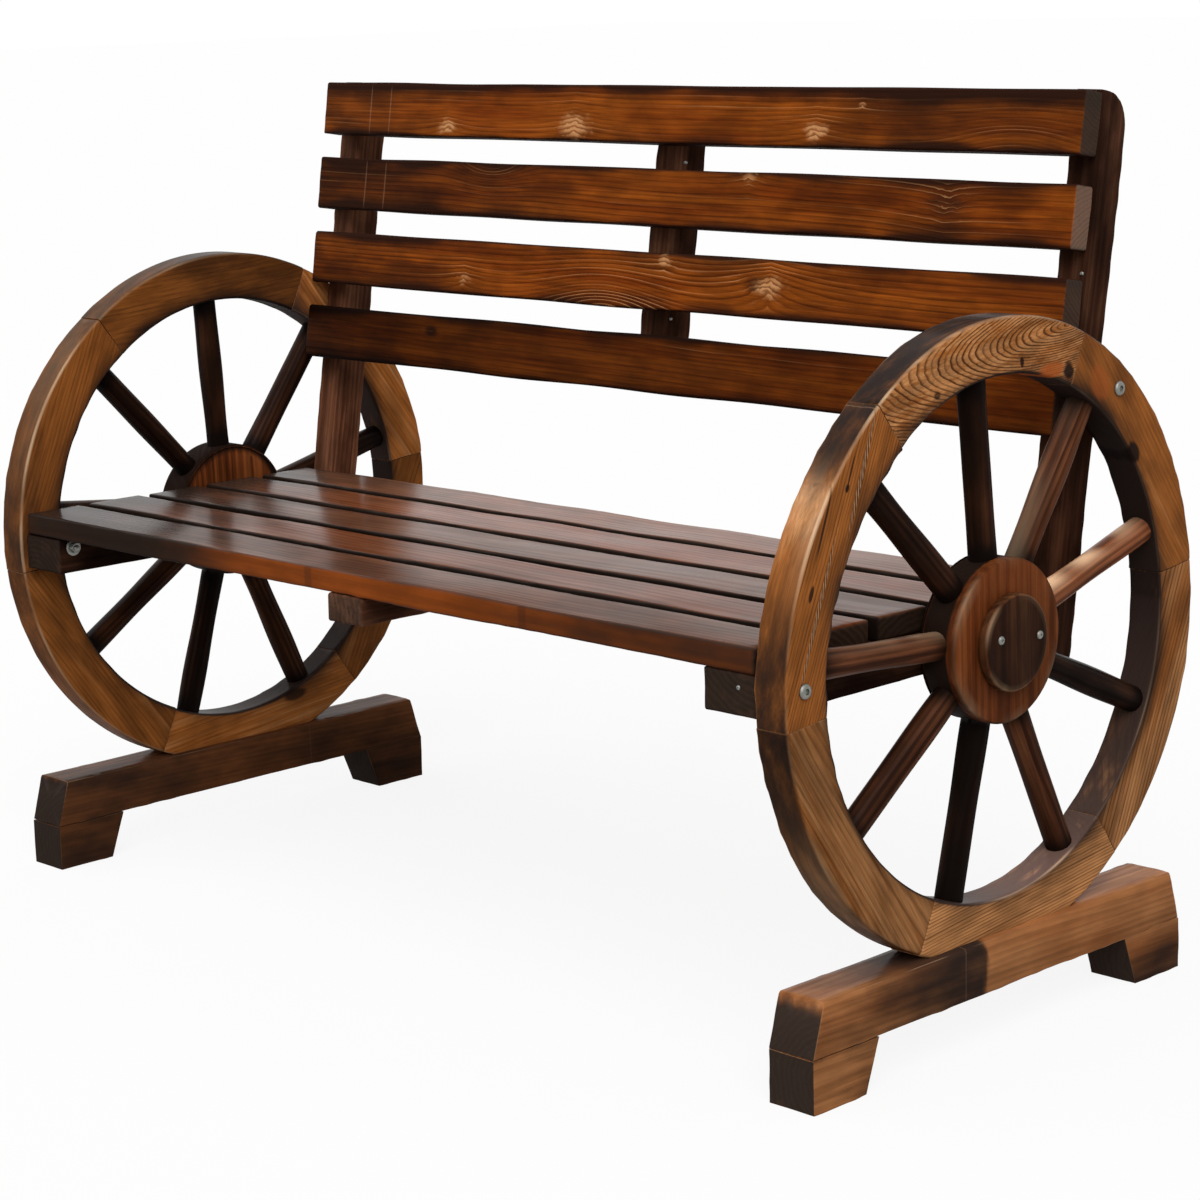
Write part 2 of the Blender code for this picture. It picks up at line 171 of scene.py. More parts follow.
class Finish:
    """Shader nodes of a material or of the world in the making, round its main shader."""

    def __init__(self, block, shader="Principled BSDF"):
        block.use_nodes = True
        self.block = block
        self.nodes = block.node_tree.nodes
        self.links = block.node_tree.links
        self.shader = self.nodes[shader]

    def plug(self, socket, value):
        """Link a wire to a socket, or set the socket to a number, a vector or a colour."""
        if isinstance(value, Wire):
            self.links.new(value.socket, socket)
        elif socket.type == "RGBA":
            socket.default_value = (*value, 1.0)
        else:
            socket.default_value = value

    def node(self, kind, settings, sockets, output=0):
        """Add any node: first its settings, then the values or links of its sockets."""
        made = self.nodes.new("ShaderNode" + kind)
        for name, value in settings.items():
            setattr(made, name, value)
        for name, value in sockets.items():
            self.plug(made.inputs[name], value)
        return Wire(self, made.outputs[output])

    def surface(self, **values):
        """Set or link the shader's own sockets, by their names with _ for a space."""
        for name, value in values.items():
            self.plug(self.shader.inputs[name.replace("_", " ")], value)

    def attribute(self, name):
        """The three numbers that a piece's points hold under a name."""
        return self.node("Attribute", {"attribute_name": name}, {}, "Vector")

    def mix(self, first, second, share):
        """Colour between two colours."""
        return self.node("Mix", {"data_type": "RGBA"}, {0: share, 6: first, 7: second}, 2)


class Wire:
    """A socket in an expression: each operator adds one Math node."""

    def __init__(self, finish, socket):
        self.finish = finish
        self.socket = socket

    def math(self, operation, *others, kind="Math", output=0):
        """Math or Vector Math, with this wire as its first value."""
        sockets = dict(enumerate((self, *others)))
        return self.finish.node(kind, {"operation": operation}, sockets, output)

    def __add__(self, other):
        return self.math("ADD", other)

    def __sub__(self, other):
        return self.math("SUBTRACT", other)

    def __rsub__(self, other):
        return self.finish.node("Math", {"operation": "SUBTRACT"}, {0: other, 1: self})

    def __mul__(self, other):
        return self.math("MULTIPLY", other)

    __radd__ = __add__
    __rmul__ = __mul__

    def vector(self, operation, other):
        """Vector Math on a vector or a colour."""
        return self.math(operation, other, kind="VectorMath")

    def reach(self, scale):
        """Length of a vector, each of whose axes is scaled first."""
        return self.vector("MULTIPLY", scale).math("LENGTH", kind="VectorMath", output="Value")

    def scaled(self, factor):
        """A colour times a number."""
        return self.finish.node("VectorMath", {"operation": "SCALE"}, {0: self, "Scale": factor})

    def smooth(self, low, high):
        """0 at low, 1 at high, with a smooth step between."""
        sockets = {"Value": self, "From Min": low, "From Max": high}
        return self.finish.node("MapRange", {"interpolation_type": "SMOOTHSTEP"}, sockets)

    def parts(self):
        """The x, y and z of a vector."""
        made = self.finish.nodes.new("ShaderNodeSeparateXYZ")
        self.finish.plug(made.inputs[0], self)
        return [Wire(self.finish, output) for output in made.outputs]

    def noise(self, along, across, detail=2.0):
        """Noise from 0 to 1 over this place, with so many waves to the metre along x, and along y and z."""
        spot = self.vector("MULTIPLY", (along, across, across))
        return self.finish.node("TexNoise", {}, {"Vector": spot, "Scale": 1.0, "Detail": detail})

    def fade(self):
        """exp(-x)."""
        return self.finish.node("Math", {"operation": "POWER"}, {0: e, 1: self * -1.0})

    def bell(self):
        """exp(-x * x)."""
        return (self * self).fade()


def burnt_fir(name, pale, warm, late, dark_colour, ring=0.006, contrast=0.7, crisp=0.2, vein=0.0, bend=0.010,
              jagged=1.0, patchy=0.6, streaky=0.6, mottled=0.3, gloss=0.45, shine=0.03, polish=0.0,
              relief=0.4, grit=1.4, cloudy=0.2, knots=(), marks=(), braids=()):
    """Scorched fir under varnish, in grain coordinates: x along the fibres, y and z from the pith.

    Growth rings are the distance from the pith over a ring's width. Slow noise bends them and streaks
    shake them. Within a ring the colour darkens from crisp on to late wood, by the ring's own chance, and
    some rings begin with a pale vein.
    The tone attribute holds lift, darkening and end grain, look holds figure, warmth and paleness, and
    facing the way out of the surface. Darkening mixes in the charred colour: it stands for scorching, and
    on some pieces for painted shade as well. Paleness stands for wood gone pale with use, and on some
    pieces for a painted highlight as well. Faces that look up are polished by use.
    A knot is (place, size, glow, loops). With a glow of 0 it lifts the rings into loops. Otherwise it draws
    them up into a tent, whose rings glint where glow is over 0, or is burnt where it is under.
    A mark is (place, half length, half width, colour, strength).
    A braid is (place, half length, half width, pitch): a row of pale and dark dashes along the fibres.
    """
    wood = Finish(bpy.data.materials.new(name))
    grain = wood.attribute("grain")
    lift, darkening, end = wood.attribute("tone").parts()
    figure, warmth, wear_and_highlight = wood.attribute("look").parts()
    upward = wood.attribute("facing").parts()[2]
    slow = grain.noise(2.6, 18.0)
    streak = grain.noise(3.0, 120.0, 3.0)
    fibre = grain.noise(16.0, 480.0, 3.0)
    patch = grain.noise(6.0, 26.0, 3.0)
    mottle = grain.noise(16.0, 36.0, 4.0).smooth(0.32, 0.68)
    blot = grain.noise(90.0, 120.0)
    rings = grain.reach((0.0, 1.0, 1.0))
    rings = rings + (slow - 0.5) * bend + (streak - 0.5) * (ring * jagged)
    swirl = slow.smooth(0.54, 0.70) * 0.6
    pale_knot = slow * 0.0
    dark_knot = slow * 0.0
    halo = slow * 0.0
    for place, size, glow, loops in knots:
        offset = grain.vector("SUBTRACT", place)
        along, across, _ = offset.parts()
        near = offset.reach((0.55 / size, 1.0 / size, 0.0)).bell()
        if glow == 0:
            rings = rings + near * (ring * loops)
            swirl = swirl + near
            continue
        side = across * (0.5 / size)
        fan = (along.math("ABSOLUTE") * (0.3 / size) + side * side).fade()
        rings = rings + fan * (ring * loops) + near * (blot - 0.5) * (ring * 1.8)
        swirl = swirl + fan
        if glow > 0:
            pale_knot = pale_knot.math("MAXIMUM", near * glow)
            halo = halo + fan * glow
        else:
            dark_knot = dark_knot + (near + (streak - 0.5) * 0.6).smooth(0.2, 0.9) * -glow
    turn = rings * (1.0 / ring)
    part = turn.math("FRACT")
    chance = wood.node("TexWhiteNoise", {"noise_dimensions": "1D"}, {"W": turn.math("FLOOR")})
    line = part.smooth(crisp, crisp + 0.45) * (1.0 - part.smooth(0.9, 1.0)) * figure * (0.5 + 0.7 * chance)
    some = (chance + swirl * 0.35).smooth(0.45, 0.80)
    bright = (1.0 - part.smooth(0.06, 0.30)) * some * swirl * figure * vein * patch.smooth(0.36, 0.56)
    blotch = streak * streaky + patch * (1.0 - streaky) + (warmth - 0.5) - halo * 0.2
    colour = wood.mix(pale, warm, blotch.smooth(0.36, 0.64))
    colour = wood.mix(colour, late, line * contrast)
    colour = colour.scaled(1.0 - grit / 2 + grit * fibre).scaled(1.0 - mottled / 2 + mottled * mottle)
    # Darkening towards the charred colour: scorch, and on some pieces painted shade
    dark_share = darkening + (patch - 0.5) * patchy + (0.5 - mottle) * 0.12 + (streak - 0.5) * 0.3
    dark_share = dark_share.smooth(0.1, 0.95)
    colour = wood.mix(colour, dark_colour, dark_share.math("MAXIMUM", dark_knot))
    colour = wood.mix(colour, TAN, (bright * (1.0 - dark_share * 0.7)).math("MINIMUM", 0.6))
    glint = (pale_knot + (blot - 0.5) * 0.9).smooth(0.3, 0.9) * (1.0 - part.smooth(0.35, 0.85) * 0.75)
    colour = wood.mix(colour, TAN, glint * pale_knot.smooth(0.05, 0.3))
    # Paleness: wood gone pale with use, and on some pieces a painted highlight
    colour = wood.mix(colour, CREAM, wear_and_highlight * (0.3 + 0.7 * patch.smooth(0.40, 0.62)))
    height = line * -0.6 + fibre * 0.7
    for place, half_length, half_width, mark_colour, strength in marks:
        away = grain.vector("SUBTRACT", place).reach((1.0 / half_length, 1.0 / half_width, 0.0))
        mark = (1.0 - (away + (streak - 0.5) * 0.8).smooth(0.6, 1.05)) * strength
        colour = wood.mix(colour, mark_colour, mark)
        height = height - mark
    for place, half_length, half_width, pitch in braids:
        offset = grain.vector("SUBTRACT", place)
        along, across, _ = offset.parts()
        inside = 1.0 - offset.reach((1.0 / half_length, 1.0 / half_width, 0.0)).smooth(0.6, 1.0)
        beat = (along * (tau / pitch) + across * (tau / half_width) + streak * 6.0).math("SINE")
        colour = wood.mix(colour, late, inside * 0.85)
        colour = wood.mix(colour, CREAM, inside * beat.smooth(0.1, 0.9) * 0.55)
    colour = wood.mix(colour, wood.mix(END_GRAIN, END_LINE, line), end)
    bump = wood.node("Bump", {}, {"Strength": relief, "Distance": BUMP_DEPTH, "Height": height})
    cloud = cloudy * (patch - 0.5)
    rough = gloss + 0.12 * line + cloud + 0.15 * end + 0.2 * dark_share
    varnish = upward.smooth(0.3, 0.95) * (1.0 - 2.0 * cloud) * polish if polish else 0.0
    wood.surface(Base_Color=colour.scaled(lift), Roughness=rough, Normal=bump, Specular_IOR_Level=shine,
                 Coat_Weight=varnish, Coat_Roughness=COAT_ROUGHNESS, Coat_IOR=COAT_IOR)
    return wood.block


def plated_steel(name):
    """Zinc-plated steel with a cloudy, slightly rusty surface."""
    metal = Finish(bpy.data.materials.new(name))
    spot = metal.node("TexCoord", {}, {}, "Object")
    cloud = spot.noise(220.0, 220.0, 3.0)
    rust = spot.noise(90.0, 90.0, 4.0).smooth(0.58, 0.72)
    colour = metal.mix((0.13, 0.13, 0.12), (0.34, 0.34, 0.31), cloud)
    colour = metal.mix(colour, (0.16, 0.09, 0.05), rust * 0.6)
    metal.surface(Base_Color=colour, Metallic=1.0 - rust * 0.7, Roughness=0.34 + 0.3 * cloud)
    return metal.block


def unit(values):
    """Values held between 0 and 1."""
    return np.clip(values, 0, 1)


def eased(length):
    """Shares of a side between its two corners, closer together near them."""
    steps = max(3, round(length / STATION) + 1)
    return (1 - np.cos(np.arange(1, steps) * pi / steps)) / 2


def rounded_rectangle(wide, high, radius, shares, steps_corner=4):
    """Round a rectangle anticlockwise from its right side: each point's corner centre and facing.

    shares places the points of the four sides. A point at an offset is core + offset * way.
    """
    half = np.array([wide / 2 - radius, high / 2 - radius])
    corners = half * np.array([(1, -1), (1, 1), (-1, 1), (-1, -1)])
    turn = np.linspace(0, pi / 2, steps_corner + 1)
    cores = []
    angles = []
    for side, share in enumerate(shares):
        first, last = corners[side], corners[(side + 1) % 4]
        cores += [first + share[:, None] * (last - first), np.repeat(last[None], len(turn), 0)]
        angles += [np.full(len(share), side * pi / 2), side * pi / 2 + turn]
    angles = np.concatenate(angles)
    return np.concatenate(cores), np.stack([np.cos(angles), np.sin(angles)], 1)


def stations(length, spacing, end_radius, end_steps=3):
    """Along a stick from pole to pole: place, share of the end face, and turn over the rounded end edge."""
    count = max(2, round((length - 2 * end_radius) / spacing))
    turn = np.linspace(0, pi / 2, end_steps + 1)
    face = np.array([0.0, 0.5, 0.92])
    start = -length / 2
    low = start + end_radius * (1 - np.cos(turn))
    middle = np.linspace(low[-1], -low[-1], count + 1)[1:-1]
    place = np.concatenate([np.full(3, start), low, middle, -low[::-1], np.full(3, -start)])
    share = np.concatenate([face, np.ones(2 * len(turn) + len(middle)), face[::-1]])
    ease = np.concatenate([np.zeros(3), turn, np.full(len(middle), pi / 2), turn[::-1], np.zeros(3)])
    return place, share, ease


class Skin:
    """Closed surface over a grid of rings (rows, columns, 3), whose first and last rings are poles.

    place holds grain coordinates (along, across, depth) and facing the outward way on the same axes.
    """

    def __init__(self, points, place, facing):
        self.columns = points.shape[1]
        self.rows = points.shape[0] - 2
        self.points = self.flat(points)
        self.place = self.flat(place)
        self.facing = self.flat(facing)

    def flat(self, grid):
        """Rows of a grid in one list, each pole once."""
        return np.concatenate([grid[:1, 0], grid[1:-1].reshape(-1, 3), grid[-1:, 0]])

    def faces(self, start=0):
        """Quads between neighbouring rings and a fan at each pole, turned outwards by the signed volume.

        Points are counted from start.
        """
        ring = np.arange(self.columns)
        after = np.roll(ring, -1)
        low = 1 + np.arange(self.rows - 1)[:, None] * self.columns
        high = low + self.columns
        quads = np.stack([low + ring, low + after, high + after, high + ring], -1).reshape(-1, 4)
        last = len(self.points) - 1
        top = last - self.columns
        first_fan = np.stack([np.zeros_like(ring), 1 + after, 1 + ring], -1)
        last_fan = np.stack([np.full_like(ring, last), top + ring, top + after], -1)
        a, b, c, d = (self.points[quads[:, k]] for k in range(4))
        volume = np.einsum("ij,ij->", a, np.cross(b, c) + np.cross(c, d))
        step = 1 if volume > 0 else -1
        blocks = (quads, first_fan, last_fan)
        return [face for block in blocks for face in (block[:, ::step] + start).tolist()]


def stick(size, radius, end_radius, spacing=STATION, shares=None):
    """Board along its first axis: a rounded rectangle carried from end to end, with rounded end edges."""
    length, wide, high = size
    if shares is None:
        shares = [eased(side) for side in (high, wide, high, wide)]
    core, way = rounded_rectangle(wide, high, radius, shares)
    place, share, ease = stations(length, spacing, end_radius)
    inner = core + (radius - end_radius) * way
    section = share[:, None, None] * inner + end_radius * np.sin(ease)[:, None, None] * way
    points = np.dstack([np.repeat(place[:, None], len(way), 1), section])
    facing = np.dstack([np.repeat((np.sign(place) * np.cos(ease))[:, None], len(way), 1),
                        np.sin(ease)[:, None, None] * way])
    return points, facing


def lathe(profile, columns, corners=0):
    """Surface turned about its first axis from (height, radius, squareness) rows, pole to pole.

    Where squareness is 1 and corners is n, the ring is a regular n-gon through the radius.
    """
    height, radius, square = np.array(profile, float).T
    turn = np.arange(columns) * tau / columns
    pinch = np.ones(columns)
    if corners:
        part = pi / corners
        pinch = cos(part) / np.cos((turn % (2 * part)) - part)
    spread = radius[:, None] * (1 + square[:, None] * (pinch - 1))
    return np.dstack([np.repeat(height[:, None], columns, 1), spread * np.cos(turn), spread * np.sin(turn)])


def round_edge(height, radius, edge, rise, steps=4):
    """Profile rows of a quarter round that ends a cylinder at a height; rise is 1 at its top, else -1."""
    turn = np.linspace(0, pi / 2, steps + 1)[::-rise]
    rows = [(height - rise * edge * (1 - sin(t)), radius - edge * (1 - cos(t)), 0) for t in turn]
    return rows[::-1] if rise > 0 else rows


def ripple_field(points, seed, wavelength, count=7):
    """Smooth random field of about unit size: a sum of sine waves with seeded ways and phases."""
    draw = np.random.default_rng(seed)
    ways = draw.normal(size=(count, 3))
    ways *= tau / wavelength / np.linalg.norm(ways, axis=1)[:, None]
    return np.sin(points @ ways.T + draw.uniform(0, tau, count)).sum(1) / sqrt(count)


def edge_share(skin):
    """1 on the rounded edges of a board, 0 on its flat faces."""
    flat = np.abs(skin.facing).max(1)
    return unit((1 - flat) / (1 - sqrt(0.5)))


def worn_edges(skin, seed):
    """Rubbed stretches of a board's edges, from 0 to 1."""
    return edge_share(skin) * unit(0.5 + 0.6 * ripple_field(skin.points, seed, RUBBED_WAVE))


def weather(skin, normals, seed):
    """Move points along their normals: slow warp on every face, short dents on the rounded edges."""
    warp = WARP[0] * ripple_field(skin.points, seed, WARP[1])
    dents = DENT[0] * edge_share(skin) * ripple_field(skin.points, seed + 1, DENT[1])
    skin.points = skin.points + normals * (warp + dents)[:, None]


def node_points(node):
    """Corners of a frame node."""
    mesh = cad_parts[node].data
    points = np.empty(len(mesh.vertices) * 3, np.float32)
    mesh.vertices.foreach_get("co", points)
    return points.reshape(-1, 3).astype(float)


def node_box(node, axes=ALONG_X):
    """Middle and size of a frame node along three axes (rows)."""
    local = node_points(node) @ axes.T
    low, high = local.min(0), local.max(0)
    return (low + high) / 2 @ axes, high - low


class Timber:
    """Where a piece was cut from its log: a stretch of grain, the pith's offset and lean, the fibres' skew.

    tight is how many times closer its rings lie than the finish says.
    """

    def __init__(self, shift, pith, lean=(0.0, 0.0), skew=0.0, tight=1.0):
        self.shift = shift
        self.pith = pith
        self.lean = lean
        self.skew = skew
        self.tight = tight

    def grain(self, place):
        """Grain coordinates of places given along, across and through the piece."""
        along, across, through = np.asarray(place, float).T
        far = along * cos(self.skew) + across * sin(self.skew)
        side = across * cos(self.skew) - along * sin(self.skew)
        return np.stack([far + self.shift, self.tight * (side - self.pith[0] + self.lean[0] * far),
                         self.tight * (through - self.pith[1] + self.lean[1] * far)], -1)

    def spot(self, along, across):
        """Grain coordinates of a place half way through the piece."""
        return tuple(self.grain((along, across, 0.0)))

    def knot(self, along, across, size, glow, loops):
        """A knot of burnt_fir at a place of the piece."""
        return self.spot(along, across), size, glow, loops

    def mark(self, along, across, half_length, half_width, colour, strength):
        """A mark of burnt_fir at a place of the piece."""
        return self.spot(along, across), half_length, half_width * self.tight, colour, strength


def settle(name, mesh, finish, node=None):
    """Object of a finished mesh on the bench's one body, in place of a frame's node where one is given."""
    mesh.materials.append(finish)
    mesh.shade_smooth()
    mesh.set_sharp_from_angle(angle=SHARP)
    piece = bpy.data.objects.new(f"finished_{name}", mesh)
    bpy.context.scene.collection.objects.link(piece)
    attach(piece, "root")
    if node:
        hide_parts(node)


def dress(node, skin, finish, timber, tone, look):
    """Object of a skin in place of the frame's node, with its grain, tone, look and facing.

    tone is lift, darkening (scorching, and painted shade on some pieces) and end grain; look is figure,
    warmth and paleness (pale wood from use, and painted highlights on some pieces).
    """
    mesh = bpy.data.meshes.new(node)
    mesh.from_pydata(skin.points.tolist(), [], skin.faces())
    layers = {"grain": timber.grain(skin.place)}
    for name, values in (("tone", tone), ("look", look)):
        layers[name] = np.stack([np.broadcast_to(value, len(skin.points)) for value in values], 1)
    facing = np.empty(len(skin.points) * 3, np.float32)
    mesh.vertices.foreach_get("normal", facing)
    layers["facing"] = facing.reshape(-1, 3)
    for name, values in layers.items():
        layer = mesh.attributes.new(name, "FLOAT_VECTOR", "POINT")
        layer.data.foreach_set("vector", values.astype(np.float32).ravel())
    settle(node, mesh, finish, node)


def board_skin(node, axes, edge, end_edge, seed, shape=None, spacing=STATION, shares=None):
    """Weathered board that fills a frame node, along the first of its axes; shape bends its points."""
    middle, size = node_box(node, axes)
    local, facing = stick(size, edge, end_edge, spacing, shares)
    if shape is not None:
        local = shape(local, size)
    skin = Skin(middle + local @ axes, local, facing)
    weather(skin, skin.facing @ axes, seed)
    return skin


def stretch_sum(along, spots):
    """Sum of marks along a piece: each is (low, high, fade at low, fade at high, strength)."""
    total = np.zeros(len(along))
    for low, high, fade_in, fade_out, strength in spots:
        rise = 1 + np.exp((low - along) / fade_in)
        total += strength / rise / (1 + np.exp((along - high) / fade_out))
    return total


def back_axes():
    """Along X, up the posts, and out of their front: the slats' own axes."""
    top, bottom = (node_box(f"back_slat_{k}")[0] for k in (1, 4))
    up = (top - bottom) / np.linalg.norm(top - bottom)
    return np.array([(1.0, 0.0, 0.0), up, np.cross((1.0, 0.0, 0.0), up)])


def end_face(skin):
    """1 on the sawn ends of a stick, 0 elsewhere."""
    return unit(np.abs(skin.facing[:, 0]) * 2 - 1)


# Lift, warmth and pith of each seat slat, from the front
SEAT_LOOK = [(0.95, 0.38, (0.06, -0.05)), (1.15, 0.52, (-0.05, -0.06)), (0.9, 0.32, (0.03, -0.06)),
             (1.5, 0.56, (-0.06, -0.04)), (1.4, 0.36, (0.05, -0.05))]
SEAT_BURN = 0.16
FRONT_SLAT_BURN = 0.2  # more, on the first slat
SEAT_SCORCH = [(-0.6, -0.47, 0.02, 0.02, 0.4), (-0.6, -0.26, 0.02, 0.05, 0.42)]
FRONT_LIFT = 1.65  # of the front edge
FRONT_SCORCH = [(-0.6, -0.19, 0.05, 0.045, 0.95), (0.22, 0.6, 0.05, 0.05, 0.62)]
FRONT_KNOTS = (-0.053, 0.244)
FRONT_KNOT = (0.006, 0.004, (0.05, 0.015, 0.006), 0.5)  # half length, half width, colour and strength
SEAT_LEAN = (0.01, 0.02)


def make_seat():
    """Seat slats: painted shade darkens their sides in the gaps between them, and the first one is paler at
    its front edge.
    """
    timbers = [Timber(LOG_STEP * index, look[2], SEAT_LEAN) for index, look in enumerate(SEAT_LOOK)]
    half = node_box("seat_slat_1")[1][1] / 2
    marks = [timbers[0].mark(x, -half, *FRONT_KNOT) for x in FRONT_KNOTS]
    finish = burnt_fir("seat_wood", (0.165, 0.062, 0.029), (0.140, 0.032, 0.005), (0.060, 0.016, 0.005),
                       (0.028, 0.016, 0.011), contrast=0.25, bend=0.012, patchy=0.5, gloss=0.3, shine=0.015,
                       polish=0.62, relief=0.012, grit=0.4, cloudy=0.18, marks=marks)
    for index, (lift, warmth, _) in enumerate(SEAT_LOOK):
        node = f"seat_slat_{index + 1}"
        first = index == 0
        skin = board_skin(node, ALONG_X, SLAT_EDGE, SLAT_EDGE, SEAT_SEED + 2 * index)
        front = unit(-skin.facing[:, 1]) * first
        end = end_face(skin)
        along = skin.place[:, 0]
        dark = stretch_sum(along, FRONT_SCORCH)
        # Painted shade: the sides that face the gaps between slats are darkened and dimmed
        gap_shade = np.abs(skin.facing[:, 1]) * (1 - front)
        darkened = (SEAT_BURN + FRONT_SLAT_BURN * first + stretch_sum(along, SEAT_SCORCH)) * (1 - front)
        darkened += front * dark + gap_shade
        lift = lift + (FRONT_LIFT * (1 - 0.65 * dark) - lift) * front
        lift = lift * (1 - 0.6 * end) * (1 - 0.6 * gap_shade)
        dress(node, skin, finish, timbers[index], (lift, darkened, 0.8 * end),
              (1.0, warmth + 0.5 * front, 0.0))


# Lift and its rise to each metre along, figure, lift of the end, darkening towards top and foot, and pith
BACK_LOOK = [(1.0, 0.0, 0.7, 0.7, 0.62, 0.0, (0.075, -0.03)),
             (0.92, 0.15, 0.9, 2.4, 0.2, 0.2, (-0.06, -0.035)),
             (1.02, 0.0, 1.0, 0.8, 0.15, 0.2, (0.055, -0.03)),
             (0.44, 0.9, 0.6, 0.8, 0.2, 0.2, (-0.07, -0.04))]
BACK_BURN = 0.10
BACK_SCORCH = [
    [(-0.6, -0.36, 0.02, 0.05, 0.42), (0.27, 0.415, 0.05, 0.015, 0.55), (0.415, 0.6, 0.015, 0.02, 0.36)],
    [(-0.6, -0.30, 0.02, 0.05, 0.60), (-0.30, -0.10, 0.03, 0.04, 0.18), (0.362, 0.405, 0.006, 0.008, 0.30),
     (0.22, 0.6, 0.06, 0.02, 0.16)],
    [(-0.6, -0.32, 0.03, 0.05, 0.40), (0.28, 0.6, 0.05, 0.015, 0.32)],
    [(-0.6, -0.30, 0.04, 0.04, 0.26)],
]
EDGE_BURN = (0.0012, 0.0065)  # how far the burnt edges of the back slats fade in, least and most
EDGE_BURN_WAVE = 0.11
# Along the seat and up from each slat's middle, size, glow and loops
BACK_KNOTS = [
    [(-0.316, -0.018, 0.009, 0.95, 1.8), (-0.120, -0.014, 0.015, 0.95, 2.4),
     (0.212, -0.014, 0.010, 0.95, 2.0), (0.268, 0.012, 0.0035, 0.7, 0.5), (0.455, -0.034, 0.040, 0.0, 5.0)],
    [(-0.242, 0.030, 0.026, 0.0, 4.5), (0.132, 0.026, 0.009, 0.6, -1.5), (0.380, 0.006, 0.015, -0.75, 2.0)],
    [(-0.269, -0.012, 0.009, 0.6, 1.8), (0.028, 0.021, 0.008, 0.75, 1.0), (0.172, 0.002, 0.013, 0.95, 3.6),
     (0.152, 0.003, 0.009, -0.6, 0.6), (-0.055, -0.036, 0.045, 0.0, 6.0)],
    [(-0.314, 0.012, 0.007, -0.85, 0.5)],
]
PALE_SCRATCHES = (-0.445, -0.412)  # across the two upper slats
PALE_SCRATCH = (0.0011, 0.03, (0.36, 0.20, 0.12), 0.3)
BACK_LEAN = (0.012, 0.01)


def make_back():
    """Back slats: knots, ragged charred edges, darker towards the top and the foot, and charred towards the
    ends.
    """
    axes = back_axes()
    timbers = [Timber(LOG_STEP * index, look[-1], BACK_LEAN) for index, look in enumerate(BACK_LOOK)]
    knots = [timber.knot(*knot) for timber, group in zip(timbers, BACK_KNOTS) for knot in group]
    marks = [timber.mark(x, 0.0, *PALE_SCRATCH) for timber in timbers[:2] for x in PALE_SCRATCHES]
    finish = burnt_fir("back_wood", (0.255, 0.060, 0.005), (0.155, 0.029, 0.002), (0.055, 0.010, 0.001),
                       (0.024, 0.008, 0.004), ring=0.0042, contrast=0.6, crisp=0.4, vein=1.0, jagged=0.6,
                       mottled=0.5, shine=0.025, grit=1.2, knots=knots, marks=marks)
    half = node_box("back_slat_1", axes)[1][1] / 2
    for index, (lift, rise, figure, end_lift, top, foot, _) in enumerate(BACK_LOOK):
        node = f"back_slat_{index + 1}"
        skin = board_skin(node, axes, SLAT_EDGE, BACK_END_EDGE, BACK_SEED + 2 * index)
        along, height = skin.place[:, 0], skin.place[:, 1] / half
        darkened = BACK_BURN + stretch_sum(along, BACK_SCORCH[index])
        darkened += top * unit(height) ** 2 + foot * unit(-height) ** 2
        ripple = ripple_field(skin.points, EDGE_BURN_SEED + index, EDGE_BURN_WAVE)
        fade = EDGE_BURN[0] + (EDGE_BURN[1] - EDGE_BURN[0]) * unit(0.4 + 0.45 * ripple)
        darkened += 0.85 * np.exp((np.abs(height) - 1) * half / fade)
        end = end_face(skin)
        lift = lift * (1 + rise * along)
        lift += (end_lift - lift) * end
        dress(node, skin, finish, timbers[index], (lift, darkened, 0.9 * end),
              (figure * (1 - 0.5 * end), 0.5, 0.0))


def rounded_top(local, size):
    """Round the rear corner at the top of a post: depth shrinks from the front face along a quarter arc."""
    below = np.clip(size[0] / 2 - local[..., 0], 0, POST_TOP_RADIUS)
    cut = POST_TOP_RADIUS - np.sqrt(POST_TOP_RADIUS ** 2 - (POST_TOP_RADIUS - below) ** 2)
    local = local.copy()
    front = size[2] / 2
    local[..., 2] = front + (local[..., 2] - front) * (size[2] - cut) / size[2]
    return local


def beam_rear(local, size):
    """Slant the rear end of a seat beam along the leaning posts."""
    lean = back_axes()[1]
    slope = lean[1] / lean[2]
    share = local[..., 0] / size[0] + 0.5
    local = local.copy()
    local[..., 0] += share * slope * (local[..., 2] - size[2] / 2)
    return local


def make_frame_timber():
    """Posts, seat beams and batten, each cut from a log whose pith and lean are drawn by chance."""
    posts = back_axes()[[1, 0, 2]]
    finish = burnt_fir("frame_wood", (0.175, 0.072, 0.038), (0.105, 0.036, 0.017), (0.026, 0.009, 0.005),
                       (0.011, 0.0045, 0.003), contrast=0.5, bend=0.012, mottled=0.6, gloss=0.55,
                       shine=0.02, relief=0.2)
    # Node, axes, shape, scorch, lift, figure and end grain
    jobs = [("back_post_left", posts, rounded_top, 0.22, 1.05, 0.8, 0.6),
            ("back_post_right", posts, rounded_top, 0.6, 0.8, 0.4, 0.6),
            ("back_post_middle", posts, None, 0.6, 0.9, 0.55, 0.6),
            ("seat_beam_left", ALONG_Y, beam_rear, 0.85, 0.7, 0.5, 0.4),
            ("seat_beam_right", ALONG_Y, beam_rear, 0.75, 0.8, 0.5, 0.5),
            ("seat_batten", ALONG_Y, None, 0.44, 0.9, 0.6, 0.5)]
    for index, (node, axes, shape, darkened, lift, figure, sawn) in enumerate(jobs):
        draw = np.random.default_rng(LOG_SEED + index)
        pith = draw.uniform(-PITH_SPREAD, PITH_SPREAD, 2)
        timber = Timber(LOG_STEP * index, pith, draw.uniform(-LEAN_SPREAD, LEAN_SPREAD, 2))
        skin = board_skin(node, axes, FRAME_EDGE, FRAME_EDGE, FRAME_SEED + 2 * index, shape, FINE_STATION)
        tone = (lift, darkened, sawn * end_face(skin))
        dress(node, skin, finish, timber, tone, (figure, 0.5, 0.0))


